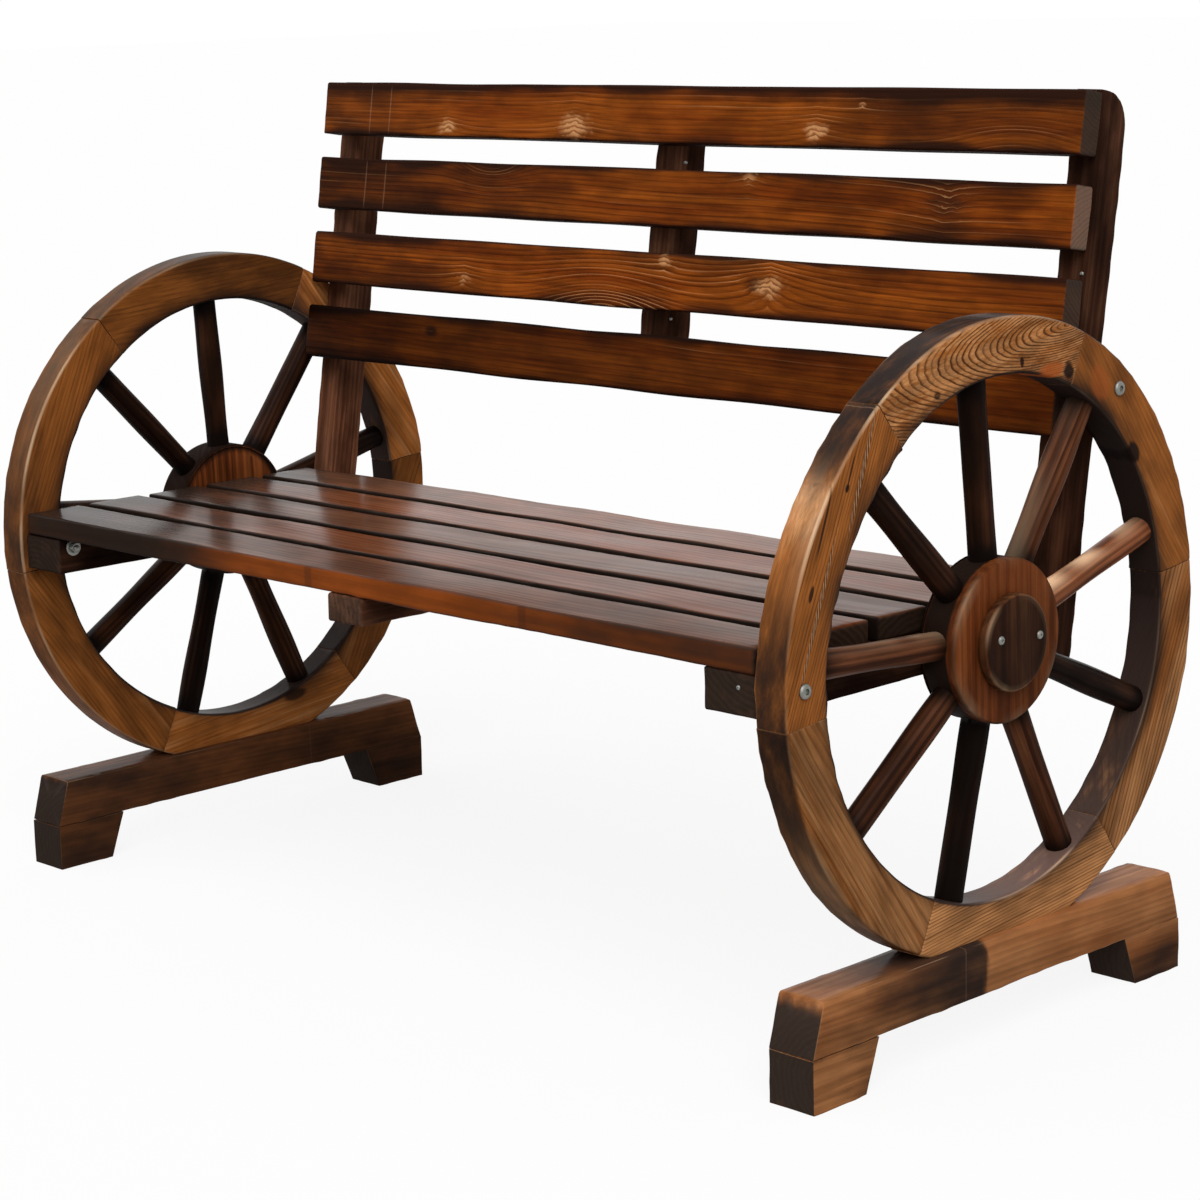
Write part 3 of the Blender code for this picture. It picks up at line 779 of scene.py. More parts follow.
def slanted(low_top, low_foot, high_top, high_foot):
    """Shape that slides a board's two ends along it by an amount at its top and another at its foot."""
    def shape(local, size):
        """Slide by the share of the length and the rise above the foot."""
        share = local[..., 0] / size[0] + 0.5
        rise = local[..., 2] / size[2] + 0.5
        local = local.copy()
        local[..., 0] += (1 - share) * (low_foot + (low_top - low_foot) * rise)
        local[..., 0] += share * (high_foot + (high_top - high_foot) * rise)
        return local
    return shape


def rounded_over(local, size):
    """Draw the two long edges of a runner's top in to an arc of the radius RUNNER_EDGE."""
    aside = np.abs(local[..., 1]) - size[1] / 2 + RUNNER_EDGE
    above = local[..., 2] - size[2] / 2 + RUNNER_EDGE
    reach = np.hypot(aside, above)
    outside = (aside > 0) & (above > 0) & (reach > RUNNER_EDGE)
    excess = np.where(outside, 1 - RUNNER_EDGE / np.maximum(reach, RUNNER_EDGE), 0)
    local = local.copy()
    local[..., 1] -= np.sign(local[..., 1]) * aside * excess
    local[..., 2] -= above * excess
    return local


def runner_shape(hand, middle, size, slope):
    """Points across a runner's top, and the shape of its sloped ends and of the trench for the rim.

    The trench is as wide as the rim, and its floor is the rim's own arc. Its walls are pairs of points at
    one place, of which the inner one follows the floor.
    """
    wheel = wheel_facts(hand)
    wall = wheel["half"] + FIT
    core = size[1] / 2 - FOOT_EDGE
    places = wall * np.array([1, 1, 0.5, 0, -0.5, -1, -1])
    high, wide = eased(size[2]), eased(size[1])
    shares = [high, (core - places) / (2 * core), high, wide]
    lowered = len(high) + 5 + np.arange(1, 6)
    ends = slanted(slope, 0, -slope, 0)

    def shape(local, size):
        """Slope the ends, lower the trench's points to the arc, then round the long edges."""
        local = ends(local, size)
        y = local[:, lowered, 0] + middle[1]
        bottom = wheel["outer"] + FIT
        arc = wheel["middle"][2] - np.sqrt(np.maximum(bottom ** 2 - y ** 2, 0)) - middle[2]
        local[:, lowered, 2] = np.minimum(local[:, lowered, 2], arc)
        return rounded_over(local, size)

    return shares, shape


def block_shape(node):
    """Slant of a foot block's ends, from the frame: how far its foot stands in from its widest."""
    points = node_points(node)
    foot = points[points[:, 2] < points[:, 2].min() + LEVEL][:, 1]
    low = foot.min() - points[:, 1].min()
    high = foot.max() - points[:, 1].max()
    return slanted(0, low, 0, high)


# From front to rear: low, high, fades and strength
FOOT_SCORCH = {"right": [(-0.118, -0.034, 0.022, 0.0012, 0.86), (-0.235, -0.110, 0.02, 0.014, 0.40),
                         (0.20, 0.3, 0.02, 0.02, 0.15)],
               "left": [(-0.3, -0.1, 0.03, 0.03, 0.2), (0.05, 0.3, 0.04, 0.04, 0.15)]}
FOOT_LOOK = {"right": (0.08, 1.12, 0.5), "left": (0.46, 0.80, 1.1)}  # scorch, lift and warmth
REAR_BLOCK_BURN = {"right": 0.55, "left": 0.12}  # towards the floor
FOOT_LINES = {"right": -0.059, "left": 0.0905}  # pale lines across the runners
FOOT_LINE = (0.0009, 1.0, (0.14, 0.085, 0.06), 0.3)
FOOT_LOG = ((0.04, -0.05), (0.0, 0.02))  # pith and lean
RAGGED = (0.005, 0.035)  # height and wavelength of the scorch's ragged border
# Depths below a runner's top: the pale strip of a sawn end, where end grain begins, how far the top's lift
# reaches, and where the rear block's scorch begins and over how much it grows
PALE_STRIP = 0.012
SAWN_FROM = 0.01
UPPER_DEPTH = 0.025
REAR_BURN = (0.055, 0.025)


def make_feet():
    """Runners and their end blocks, with one pattern of scorch over all three; soles stay on the floor."""
    timbers = {}
    marks = []
    for number, (hand, line) in enumerate(FOOT_LINES.items()):
        timbers[hand] = Timber(LOG_STEP * number, *FOOT_LOG)
        marks.append(timbers[hand].mark(line, 0.0, *FOOT_LINE))
    finish = burnt_fir("foot_wood", (0.34, 0.142, 0.052), (0.230, 0.078, 0.024), (0.085, 0.030, 0.010),
                       (0.022, 0.013, 0.010), contrast=0.22, bend=0.016, streaky=0.3, polish=0.4, grit=0.5,
                       marks=marks)
    for number, (hand, timber) in enumerate(timbers.items()):
        runner, front, rear = (f"foot_{part}_{hand}" for part in ("runner", "block_front", "block_rear"))
        points = node_points(runner)
        top = points[:, 2].max()
        slope = points[:, 1].max() - points[points[:, 2] > top - LEVEL][:, 1].max()
        middle, size = node_box(runner, ALONG_Y)
        across, trench = runner_shape(hand, middle, size, slope)
        jobs = [(runner, trench, across)]
        jobs += [(block, block_shape(block), None) for block in (front, rear)]
        base, lift, warmth = FOOT_LOOK[hand]
        for index, (node, shape, shares) in enumerate(jobs):
            seed = FOOT_SEED + 10 * index + number
            skin = board_skin(node, ALONG_Y, FOOT_EDGE, FOOT_EDGE, seed, shape, FINE_STATION, shares)
            skin.points[:, 2] = np.maximum(skin.points[:, 2], cad_low[2])
            skin.place = (skin.points - middle)[:, [1, 0, 2]]
            end = end_face(skin)
            below = top - skin.points[:, 2]
            ragged = skin.points[:, 1] + RAGGED[0] * ripple_field(skin.points, seed + 5, RAGGED[1])
            darkened = base + stretch_sum(ragged, FOOT_SCORCH[hand])
            darkened += 0.9 * end * (1 - 0.9 * np.exp(-(below / PALE_STRIP) ** 2))
            if node == rear:
                darkened += REAR_BLOCK_BURN[hand] * unit((below - REAR_BURN[0]) / REAR_BURN[1])
            upper = 1 + 0.2 * np.clip(1 - below / UPPER_DEPTH, -0.5, 1)
            tone = (lift * upper, darkened, 0.3 * end * (below > SAWN_FROM))
            look = (1.0 - 0.6 * end, warmth, 0.35 * worn_edges(skin, seed))
            dress(node, skin, finish, timber, tone, look)


def wheel_facts(hand):
    """Side and centre of a wheel, sizes of its rim, and radii of its hub and spokes, from the frame."""
    hub_middle, hub_size = node_box(f"hub_{hand}")
    rim = node_points(f"felloe_{hand}_1")
    reach = np.hypot(rim[:, 1], rim[:, 2] - hub_middle[2])
    middle = np.array([(rim[:, 0].min() + rim[:, 0].max()) / 2, 0.0, hub_middle[2]])
    outer = reach.max()
    inner = reach[reach < (reach.max() + reach.min()) / 2].min()
    spoke = node_points(f"spoke_{hand}_1")
    return {"side": SIDES[hand], "middle": middle, "outer": outer, "inner": inner, "depth": outer - inner,
            "mid": (outer + inner) / 2, "half": np.ptp(rim[:, 0]) / 2, "hub": hub_size[1] / 2,
            "spoke": np.ptp(spoke[:, 0]) / 2}


# Angle and half width in degrees, and height, of the swells and flats of a rim that is not quite round
RIM_WANDER = {"right": [(141, 26, -0.0055), (20, 34, -0.0022)],
              "left": [(85, 40, 0.0032), (322, 28, -0.0028)]}


def wander(hand, angle):
    """How far a rim strays from its circle: a sum of bell curves over the angle."""
    total = 0.0
    for place, width, height in RIM_WANDER[hand]:
        turn = (np.degrees(angle) - place + 180) % 360 - 180
        total = total + height * np.exp(-(turn / width) ** 2)
    return total


def felloe_arc(hand, felloe):
    """Start and end angle of a felloe round its wheel, from the frame."""
    points = node_points(f"felloe_{hand}_{felloe}") - wheel_facts(hand)["middle"]
    angles = np.arctan2(points[:, 2], points[:, 1])
    middle = np.arctan2(points[:, 2].mean(), points[:, 1].mean())
    turn = (angles - middle + pi) % tau - pi
    return middle + turn.min(), middle + turn.max()


def felloe_skin(hand, wheel, start, finish_angle, seed):
    """Felloe: a rounded rectangle carried round an arc of the rim, with close-fitting ends.

    The grain runs straight along the chord, so its coordinates are the tangent and radius at mid arc.
    """
    size = ((finish_angle - start) * wheel["mid"], wheel["depth"], 2 * wheel["half"])
    local, facing = stick(size, RIM_EDGE, JOINT_EDGE, RIM_STATION)
    turn = local[..., 0] / wheel["mid"]
    angle = (start + finish_angle) / 2 + turn
    reach = wheel["mid"] + local[..., 1] + wander(hand, angle)
    x, _, z = wheel["middle"]
    points = np.dstack([x + wheel["side"] * local[..., 2], reach * np.cos(angle),
                        z + reach * np.sin(angle)])
    place = np.dstack([reach * np.sin(turn), reach * np.cos(turn) - wheel["mid"], local[..., 2]])
    skin = Skin(points, place, facing)
    angle = skin.flat(np.dstack([angle] * 3))[:, 0]
    tangent = np.stack([np.zeros_like(angle), -np.sin(angle), np.cos(angle)], 1)
    radial = np.stack([np.zeros_like(angle), np.cos(angle), np.sin(angle)], 1)
    outward = np.array([wheel["side"], 0.0, 0.0])
    normals = skin.facing[:, :1] * tangent + skin.facing[:, 1:2] * radial + skin.facing[:, 2:] * outward
    weather(skin, normals, seed)
    return skin


# Lift, figure and warmth of each felloe, and its log: pith, lean, skew and tightness
RIM_LOOK = {
    "right": [(1.00, 0.3, 0.70, (0.10, -0.03), (0, 0.02), 0.0, 1.0),
              (1.22, 1.3, 0.48, (-0.0015, -0.0085), (0, 0.22), 0.0, 2.1),
              (1.18, 0.75, 0.75, (0.09, -0.06), (0, 0.05), -0.06, 1.5),
              (0.72, 0.5, 0.45, (-0.07, -0.06), (0, 0.03), 0.05, 1.2),
              (1.10, 0.8, 0.35, (0.11, -0.03), (0, 0.02), 0.0, 1.5),
              (0.86, 0.8, 0.5, (-0.09, -0.03), (0, 0.03), 0.0, 1.0)],
    # The first left felloe's lift is partly painted light: it brightens the rear stretch that the back
    # shades
    "left": [(1.85, 0.35, 0.6, (0.1, 0.04), (0, 0.0), 0.0, 1.0),
             (0.80, 0.35, 0.8, (-0.1, 0.05), (0, 0.05), 0.0, 1.0),
             (1.00, 0.4, 0.7, (0.1, 0.05), (0, 0.03), 0.0, 1.0),
             (0.84, 0.4, 0.65, (-0.1, 0.04), (0, 0.02), 0.0, 1.0),
             (1.32, 0.4, 0.6, (0.1, 0.05), (0, 0.02), 0.0, 1.0),
             (1.00, 0.4, 0.65, (-0.1, 0.05), (0, 0.04), 0.0, 1.0)],
}
# By angle in degrees: scorch on faces; scorch on treads, also painted shade where the right tread faces
# down; painted highlights on stretches of a tread; pale wood along its edge from use, with a painted
# highlight where the light falls; and a painted sheen inside the rim
FACE_SCORCH = {"right": [(50, 68, 4, 2, 0.3), (296, 350, 8, 10, 0.2)],
               "left": [(52, 122, 4, 22, 0.4), (158, 188, 5, 5, 0.35), (300, 352, 8, 8, 0.3)]}
TREAD_SCORCH_AND_SHADE = {"right": [(40, 143, 6, 2.5, 0.75), (164, 200, 5, 8, 0.72), (200, 262, 8, 8, 0.42)],
                "left": [(50, 150, 5, 25, 0.5), (166, 192, 5, 5, 0.25), (-10, 370, 5, 5, 0.2)]}
TREAD_PAINTED_HIGHLIGHT = {"right": [(142, 154, 2, 4, 0.7), (212, 236, 6, 6, 0.35)], "left": [(96, 160, 8, 8, 0.25)]}
EDGE_WEAR_AND_HIGHLIGHT = {"right": [(84, 160, 5, 4, 0.85), (306, 350, 6, 5, 0.6)], "left": [(100, 245, 10, 10, 0.5)]}
INNER_PAINTED_SHEEN = {"right": [(266, 298, 6, 8, 8.5), (306, 350, 6, 10, 1.6)], "left": []}
RIM_BURN = 0.08
INSIDE_BURN = 0.9  # inside the rim
INNER_BURN = 0.55  # on the faces, towards the inner edge
# Wheel, felloe, angle in degrees, radius, half length, half width, colour and strength
# Near-black marks are char, and painted shade in the hollows of notches, cracks and knot holes
RIM_MARKS = [
    ("right", 2, 84.1, 0.2415, 0.0035, 0.0055, SOOT_AND_SHADE, 0.95),
    ("right", 2, 74.0, 0.2375, 0.020, 0.008, REDDISH, 0.8),
    ("right", 2, 68.1, 0.2430, 0.008, 0.010, SOOT_AND_SHADE, 0.95),
    ("right", 2, 111.6, 0.2410, 0.005, 0.004, SOOT_AND_SHADE, 0.8),
    ("right", 1, 57.0, 0.2500, 0.020, 0.014, REDDISH, 0.5),
    ("right", 1, 37.0, 0.2350, 0.012, 0.008, SOOT_AND_SHADE, 0.95),
    ("right", 3, 138.6, 0.2650, 0.020, 0.0016, SOOT_AND_SHADE, 0.8),
    ("right", 3, 141.6, 0.2600, 0.005, 0.0030, SOOT_AND_SHADE, 0.95),
    ("right", 3, 150.0, 0.2690, 0.034, 0.0016, SOOT_AND_SHADE, 0.8),
    ("right", 3, 162.0, 0.2620, 0.008, 0.0026, SOOT_AND_SHADE, 0.9),
    ("left", 5, 288.0, 0.2380, 0.020, 0.008, SOOT_AND_SHADE, 0.85),
]
# Wheel, felloe, angle in degrees, radius, half length, half width and pitch
RIM_BRAIDS = [("right", 3, 137.0, 0.2530, 0.062, 0.0042, 0.0085),
              ("right", 3, 165.0, 0.2500, 0.080, 0.0034, 0.0085)]


def on_felloe(hand, felloe, angle, radius):
    """Along and across a felloe, of a point at an angle in degrees and a radius."""
    turn = radians(angle) - sum(felloe_arc(hand, felloe)) / 2
    return radius * sin(turn), radius * cos(turn) - wheel_facts(hand)["mid"]


def make_rims():
    """Felloes: charred by angle on faces and treads, black inside, pale along the edges from use; painted
    shade, highlights and sheen by angle.
    """
    timbers = {}
    for hand, looks in RIM_LOOK.items():
        for felloe, (*_, pith, lean, skew, tight) in enumerate(looks, 1):
            timbers[hand, felloe] = Timber(LOG_STEP * len(timbers), pith, lean, skew, tight)
    marks = [timbers[hand, felloe].mark(*on_felloe(hand, felloe, angle, radius), *mark)
             for hand, felloe, angle, radius, *mark in RIM_MARKS]
    braids = [(timbers[hand, felloe].spot(*on_felloe(hand, felloe, angle, radius)), *braid)
              for hand, felloe, angle, radius, *braid in RIM_BRAIDS]
    finish = burnt_fir("rim_wood", (0.40, 0.180, 0.066), (0.270, 0.088, 0.018), (0.085, 0.028, 0.008),
                       (0.021, 0.0125, 0.010), ring=0.0042, contrast=0.92, crisp=0.42, jagged=0.4,
                       mottled=0.5, gloss=0.46, grit=1.1, polish=0.35, marks=marks, braids=braids)
    for (hand, felloe), timber in timbers.items():
        lift, figure, warmth, *_ = RIM_LOOK[hand][felloe - 1]
        wheel = wheel_facts(hand)
        seed = RIM_SEED + 20 * (hand == "left") + 2 * felloe
        skin = felloe_skin(hand, wheel, *felloe_arc(hand, felloe), seed)
        inside = unit(-skin.facing[:, 1])
        outside = unit(skin.facing[:, 1])
        seen = unit(wheel["side"] * skin.facing[:, 2])
        y, z = skin.points[:, 1], skin.points[:, 2] - wheel["middle"][2]
        angle = np.degrees(np.arctan2(z, y)) % 360
        inner_half = unit(1 - 2 * (np.hypot(y, z) - wheel["inner"]) / wheel["depth"])
        # Painted highlight: stretches of the tread made paler and less warm where the light glances off
        # them
        rub_and_highlight = outside * stretch_sum(angle, TREAD_PAINTED_HIGHLIGHT[hand])
        face = stretch_sum(angle, FACE_SCORCH[hand]) + INNER_BURN * inner_half ** 2
        # Scorch on the treads; on the right wheel from 164 degrees on, where the tread faces down, also
        # painted shade
        darkened = RIM_BURN + INSIDE_BURN * inside + outside ** 2 * stretch_sum(angle, TREAD_SCORCH_AND_SHADE[hand])
        darkened += np.abs(skin.facing[:, 2]) * face
        # Painted sheen: inside the rim near its bottom the colour is lifted, as if it reflected the white
        # round it
        painted_sheen = inside * stretch_sum(angle, INNER_PAINTED_SHEEN[hand])
        # Pale worn edges, and along the lit outer edge of the face a painted highlight as well
        worn_and_highlit = 0.4 * worn_edges(skin, seed) * (1 - inside)
        worn_and_highlit += 2 * outside * seen * stretch_sum(angle, EDGE_WEAR_AND_HIGHLIGHT[hand]) + 0.5 * rub_and_highlight
        dress(f"felloe_{hand}_{felloe}", skin, finish, timber,
              (lift * (1 - 0.2 * outside + 0.6 * rub_and_highlight + painted_sheen), darkened, 0.4 * end_face(skin)),
              (figure * (1 - 0.75 * outside), warmth + 0.2 * outside - rub_and_highlight, np.minimum(worn_and_highlit, 1)))


SPOKE_LET_IN = 0.004  # end of a spoke within the rim
SPOKE_SWELL = (0.03, 0.02)  # shares of its radius: one long wave along a spoke, and a shorter one
SPOKE_OVAL = 0.02
# Lift and scorch of each spoke, from the rear one up
SPOKE_LOOK = {
    "right": [(2.5, -0.05), (1.5, 0.42), (0.8, 0.7), (0.9, 0.65), (1.3, 0.35), (1.1, 0.5), (0.7, 0.85),
              (1.1, 0.5), (0.8, 0.75)],
    "left": [(0.8, 0.7), (0.9, 0.7), (0.8, 0.8), (0.8, 0.7), (0.9, 0.7), (0.9, 0.6), (0.8, 0.75),
             (1.0, 0.6), (0.8, 0.7)],
}
SPOKE_END_DARKENING = (0.35, 0.012)  # darker by the hub and the rim, where the spoke meets them, and how far it reaches
# Painted highlight on the upper side, drawn as pale wood
SPOKE_PAINTED_HIGHLIGHT = {"spoke_right_1": 0.75, "spoke_right_2": 0.12, "spoke_right_5": 0.3}


def spoke_angle(node, wheel):
    """Angle of a spoke round its wheel, from the far end of its node in the frame."""
    points = node_points(node) - wheel["middle"]
    reach = np.hypot(points[:, 1], points[:, 2])
    y, z = points[reach > reach.max() - SPOKE_LET_IN][:, 1:].mean(0)
    return np.arctan2(z, y)


def make_spokes():
    """Spokes: a circle carried from the hub's curved side to the rim's, slightly swollen and uneven."""
    finish = burnt_fir("spoke_wood", (0.135, 0.048, 0.020), (0.085, 0.026, 0.010), (0.025, 0.007, 0.003),
                       (0.006, 0.003, 0.002), gloss=0.38, polish=0.6)
    turn = np.arange(SPOKE_COLUMNS) * tau / SPOKE_COLUMNS
    share = np.concatenate([[0, 0, 0], np.linspace(0, 1, SPOKE_RINGS), [1, 1, 1]])
    fill = np.concatenate([[0, 0.5, 0.9], np.ones(SPOKE_RINGS), [0.9, 0.5, 0]])
    ways = np.stack([np.zeros(SPOKE_COLUMNS), np.cos(turn), np.sin(turn)], 1)
    for number, hand in enumerate(SIDES):
        wheel = wheel_facts(hand)
        x, _, z = wheel["middle"]
        for index, (lift, darkened) in enumerate(SPOKE_LOOK[hand]):
            node = f"spoke_{hand}_{index + 1}"
            angle = spoke_angle(node, wheel)
            draw = np.random.default_rng(SPOKE_SEED + index + 20 * number)
            swell = 1 + SPOKE_SWELL[0] * np.sin(share * tau + draw.uniform(0, tau))
            swell += SPOKE_SWELL[1] * np.cos(share * 9 + index)
            oval = 1 + SPOKE_OVAL * np.cos(2 * turn + draw.uniform(0, tau))
            radius = wheel["spoke"] * (swell * fill)[:, None] * oval
            beside = radius * np.cos(turn)
            through = radius * np.sin(turn)
            inner = np.sqrt(wheel["hub"] ** 2 - beside ** 2)
            outer = np.sqrt(wheel["inner"] ** 2 - beside ** 2) + SPOKE_LET_IN
            along = inner + share[:, None] * (outer - inner)
            points = np.dstack([x + through, along * cos(angle) - beside * sin(angle),
                                z + along * sin(angle) + beside * cos(angle)])
            skin = Skin(points, np.dstack([along, beside, through]), np.repeat(ways[None], len(share), 0))
            pith = draw.uniform(-SPOKE_SPREAD, SPOKE_SPREAD, 2)
            lean = (draw.uniform(-SPOKE_SPREAD, SPOKE_SPREAD), 0.0)
            timber = Timber(SPOKE_LOG_STEP * (index + 9 * number), pith, lean)
            place = skin.place[:, 0]
            ends = np.minimum(place - wheel["hub"], wheel["inner"] - place)
            darkening = darkened + SPOKE_END_DARKENING[0] * np.exp(-(ends / SPOKE_END_DARKENING[1]) ** 2)
            upper = unit(skin.facing[:, 1] * np.sign(cos(angle)))
            far = (place - wheel["hub"]) / (wheel["inner"] - wheel["hub"])
            ripple = ripple_field(skin.place, SPOKE_HIGHLIGHT_SEED + index, SPOKE_HIGHLIGHT_WAVE)
            streak = unit(0.75 + 0.6 * ripple)
            # Painted highlight along the upper side, in streaks, fading towards the rim
            rub_and_highlight = SPOKE_PAINTED_HIGHLIGHT.get(node, 0.0) * upper ** 3 * streak * (1 - 0.8 * far ** 2)
            dress(node, skin, finish, timber, (lift, darkening, 0.0), (1.0, 0.5, rub_and_highlight))


HUB_LOG = ((0.03, -0.05), (0.02, 0.0))  # pith and lean
FACE_RINGS = (0.0, 0.3, 0.6, 0.85)  # on the flat faces of a turned piece, as shares of its radius
SIDE_RINGS = 12
BAND_SHARE = 0.7  # of the face's scorch, on the paler band of the side


def turned_piece(node, side, edge, finish, slot, shift, burn_face, side_dark, lift, figure, rub_and_highlight,
                 band=0.0):
    """Hub drum or cap: a rounded cylinder about X, pale at its outer edge from use, with painted light and
    shade that leave it less dark towards the front and top; its grain stands upright.

    The drum's side is paler for a band behind its outer face.
    """
    middle, size = node_box(node)
    radius = size[1] / 2
    half = size[0] / 2
    face = np.array(FACE_RINGS) * radius
    profile = [(-half, r, 0) for r in face] + round_edge(-half, radius, edge, -1)
    profile += [(h, radius, 0) for h in np.linspace(-half + edge, half - edge, SIDE_RINGS)[1:-1]]
    profile += round_edge(half, radius, edge, 1) + [(half, r, 0) for r in face[::-1]]
    local = lathe(profile, HUB_COLUMNS)
    points = middle + local * np.array([side, 1, 1])
    reach = np.hypot(local[..., 1], local[..., 2])
    flat = np.where(reach < radius - edge * 0.9, 1.0, 0.0)
    skin = Skin(points, local[..., ::-1], np.dstack([flat] * 3))
    depth = half - skin.place[:, 2]
    front = np.where(depth < band, BAND_SHARE, 0.0)
    darkened = side_dark + (burn_face - side_dark) * np.maximum(skin.facing[:, 0], front)
    # Painted light and shade: less dark towards the front and top, darker towards the rear and bottom
    darkened = darkened - 0.12 * (skin.points[:, 2] - middle[2] - skin.points[:, 1]) / radius
    rim = unit(1 - (radius - skin.flat(np.dstack([reach] * 3))[:, 0]) / (1.6 * edge))
    rim *= unit(1 - depth / (1.6 * edge))
    ripple = ripple_field(skin.points, HUB_WEAR_SEED, HUB_RUB_WAVE)
    worn_and_highlit = rub_and_highlight * rim * unit(0.6 + 0.6 * ripple)
    dress(node, skin, finish, Timber(shift, *HUB_LOG), (lift, darkened, 0.0), (figure, 0.5, worn_and_highlit))


# Scorch on a drum's face, darkening round its side, lift, figure, wear, and the paler band of the side
HUB_LOOK = {"right": (0.28, 1.15, 1.0, 0.35, 0.5, 0.011), "left": (0.28, 1.4, 1.0, 0.9, 0.5, 0.0)}
CAP_LOOK = (0.74, 0.25, 0.95, 0.8, 0.55)


def make_hubs():
    """Hub drums and their caps."""
    drum = burnt_fir("hub_wood", (0.195, 0.055, 0.014), (0.128, 0.030, 0.007), (0.040, 0.010, 0.003),
                     (0.012, 0.006, 0.004), ring=0.007, contrast=0.75, bend=0.016, gloss=0.48)
    cover = burnt_fir("cap_wood", (0.140, 0.056, 0.022), (0.085, 0.028, 0.011), (0.030, 0.009, 0.004),
                      (0.014, 0.006, 0.004), ring=0.007)
    for number, (hand, side) in enumerate(SIDES.items()):
        shift = LOG_STEP * number
        turned_piece(f"hub_{hand}", side, HUB_EDGE, drum, "hub_wood", shift, *HUB_LOOK[hand])
        turned_piece(f"hub_cap_{hand}", side, CAP_EDGE, cover, "cap_wood", shift, *CAP_LOOK)


def metal_piece(name, grids, steel, node=None):
    """Object of turned grids, in place of a frame's node where one is given."""
    points = []
    faces = []
    for grid in grids:
        skin = Skin(grid, grid, grid)
        faces += skin.faces(sum(map(len, points)))
        points.append(skin.points)
    mesh = bpy.data.meshes.new(name)
    mesh.from_pydata(np.concatenate(points).tolist(), [], faces)
    settle(name, mesh, steel, node)


def bolt_profile(low, top, washer):
    """Rows of a bolt, from the floor of its hex socket over head, shank, washer and nut to its end."""
    socket = BOLT_HEAD * RECESS_SHARE
    floor = top - RECESS_DEPTH
    foot = top - BOLT_HEAD_HEIGHT
    nut_top = low + BOLT_END
    nut_foot = nut_top + NUT_HEIGHT
    washer_foot = nut_foot + WASHER_THICKNESS
    recess = [(floor, 0, 0), (floor, socket * 0.6, 1), (floor, socket, 1), (top - 0.0003, socket, 1)]
    head = [(top, socket * 1.14, 0.4)]
    head += [(top - drop, BOLT_HEAD * share, 0) for drop, share in BOLT_DOME]
    head += [(foot + 0.0004, BOLT_HEAD, 0), (foot, BOLT_HEAD * 0.97, 0)]
    shank = [(foot, BOLT_SHANK, 0), (washer_foot, BOLT_SHANK, 0)]
    disc = [(washer_foot, washer * 0.96, 0), (washer_foot - 0.0004, washer, 0),
            (nut_foot + 0.0003, washer, 0), (nut_foot, washer * 0.97, 0)]
    nut = [(nut_foot, NUT_RADIUS, 1), (nut_top + 0.0006, NUT_RADIUS, 1), (nut_top, NUT_RADIUS * 0.9, 0.3)]
    thread = [(nut_top, 0.0031, 0), (low + 0.0006, BOLT_SHANK, 0), (low, 0.0024, 0), (low, 0, 0)]
    return recess + head + shank + disc + nut + thread


def make_bolts(steel):
    """Bolts: a domed head with a hex socket, shank, washer and nut, turned as one from head to thread."""
    for hand, side in SIDES.items():
        for kind in ("beam_bolt", "post_bolt"):
            node = f"{kind}_{hand}"
            reach = np.abs(node_points(node)[:, 0])
            middle, size = node_box(node)
            local = lathe(bolt_profile(reach.min(), reach.max(), size[1] / 2), BOLT_COLUMNS, 6)
            centre = np.array([0, middle[1], middle[2]])
            metal_piece(node, [centre + local * np.array([side, 1, 1])], steel, node)


def screw_head(place, way, kind):
    """Domed screw head at a place, turned about the way that it faces, with a square recess."""
    radius, height = kind
    rim = 0.97 * height
    profile = [(-0.001, 0, 0), (-0.001, radius, 0)]
    profile += [(rise * height, share * radius, 0) for rise, share in SCREW_DOME]
    profile += [(rim, 0.33 * radius, 0.5), (rim - 0.0012, 0.25 * radius, 1), (rim - 0.0013, 0, 0)]
    way = np.asarray(way, float)
    level = np.cross(way, (0.0, 1.0, 0.0) if abs(way[1]) < 0.9 else (1.0, 0.0, 0.0))
    level /= np.linalg.norm(level)
    return place + lathe(profile, SCREW_COLUMNS, 4) @ np.array([way, level, np.cross(way, level)])


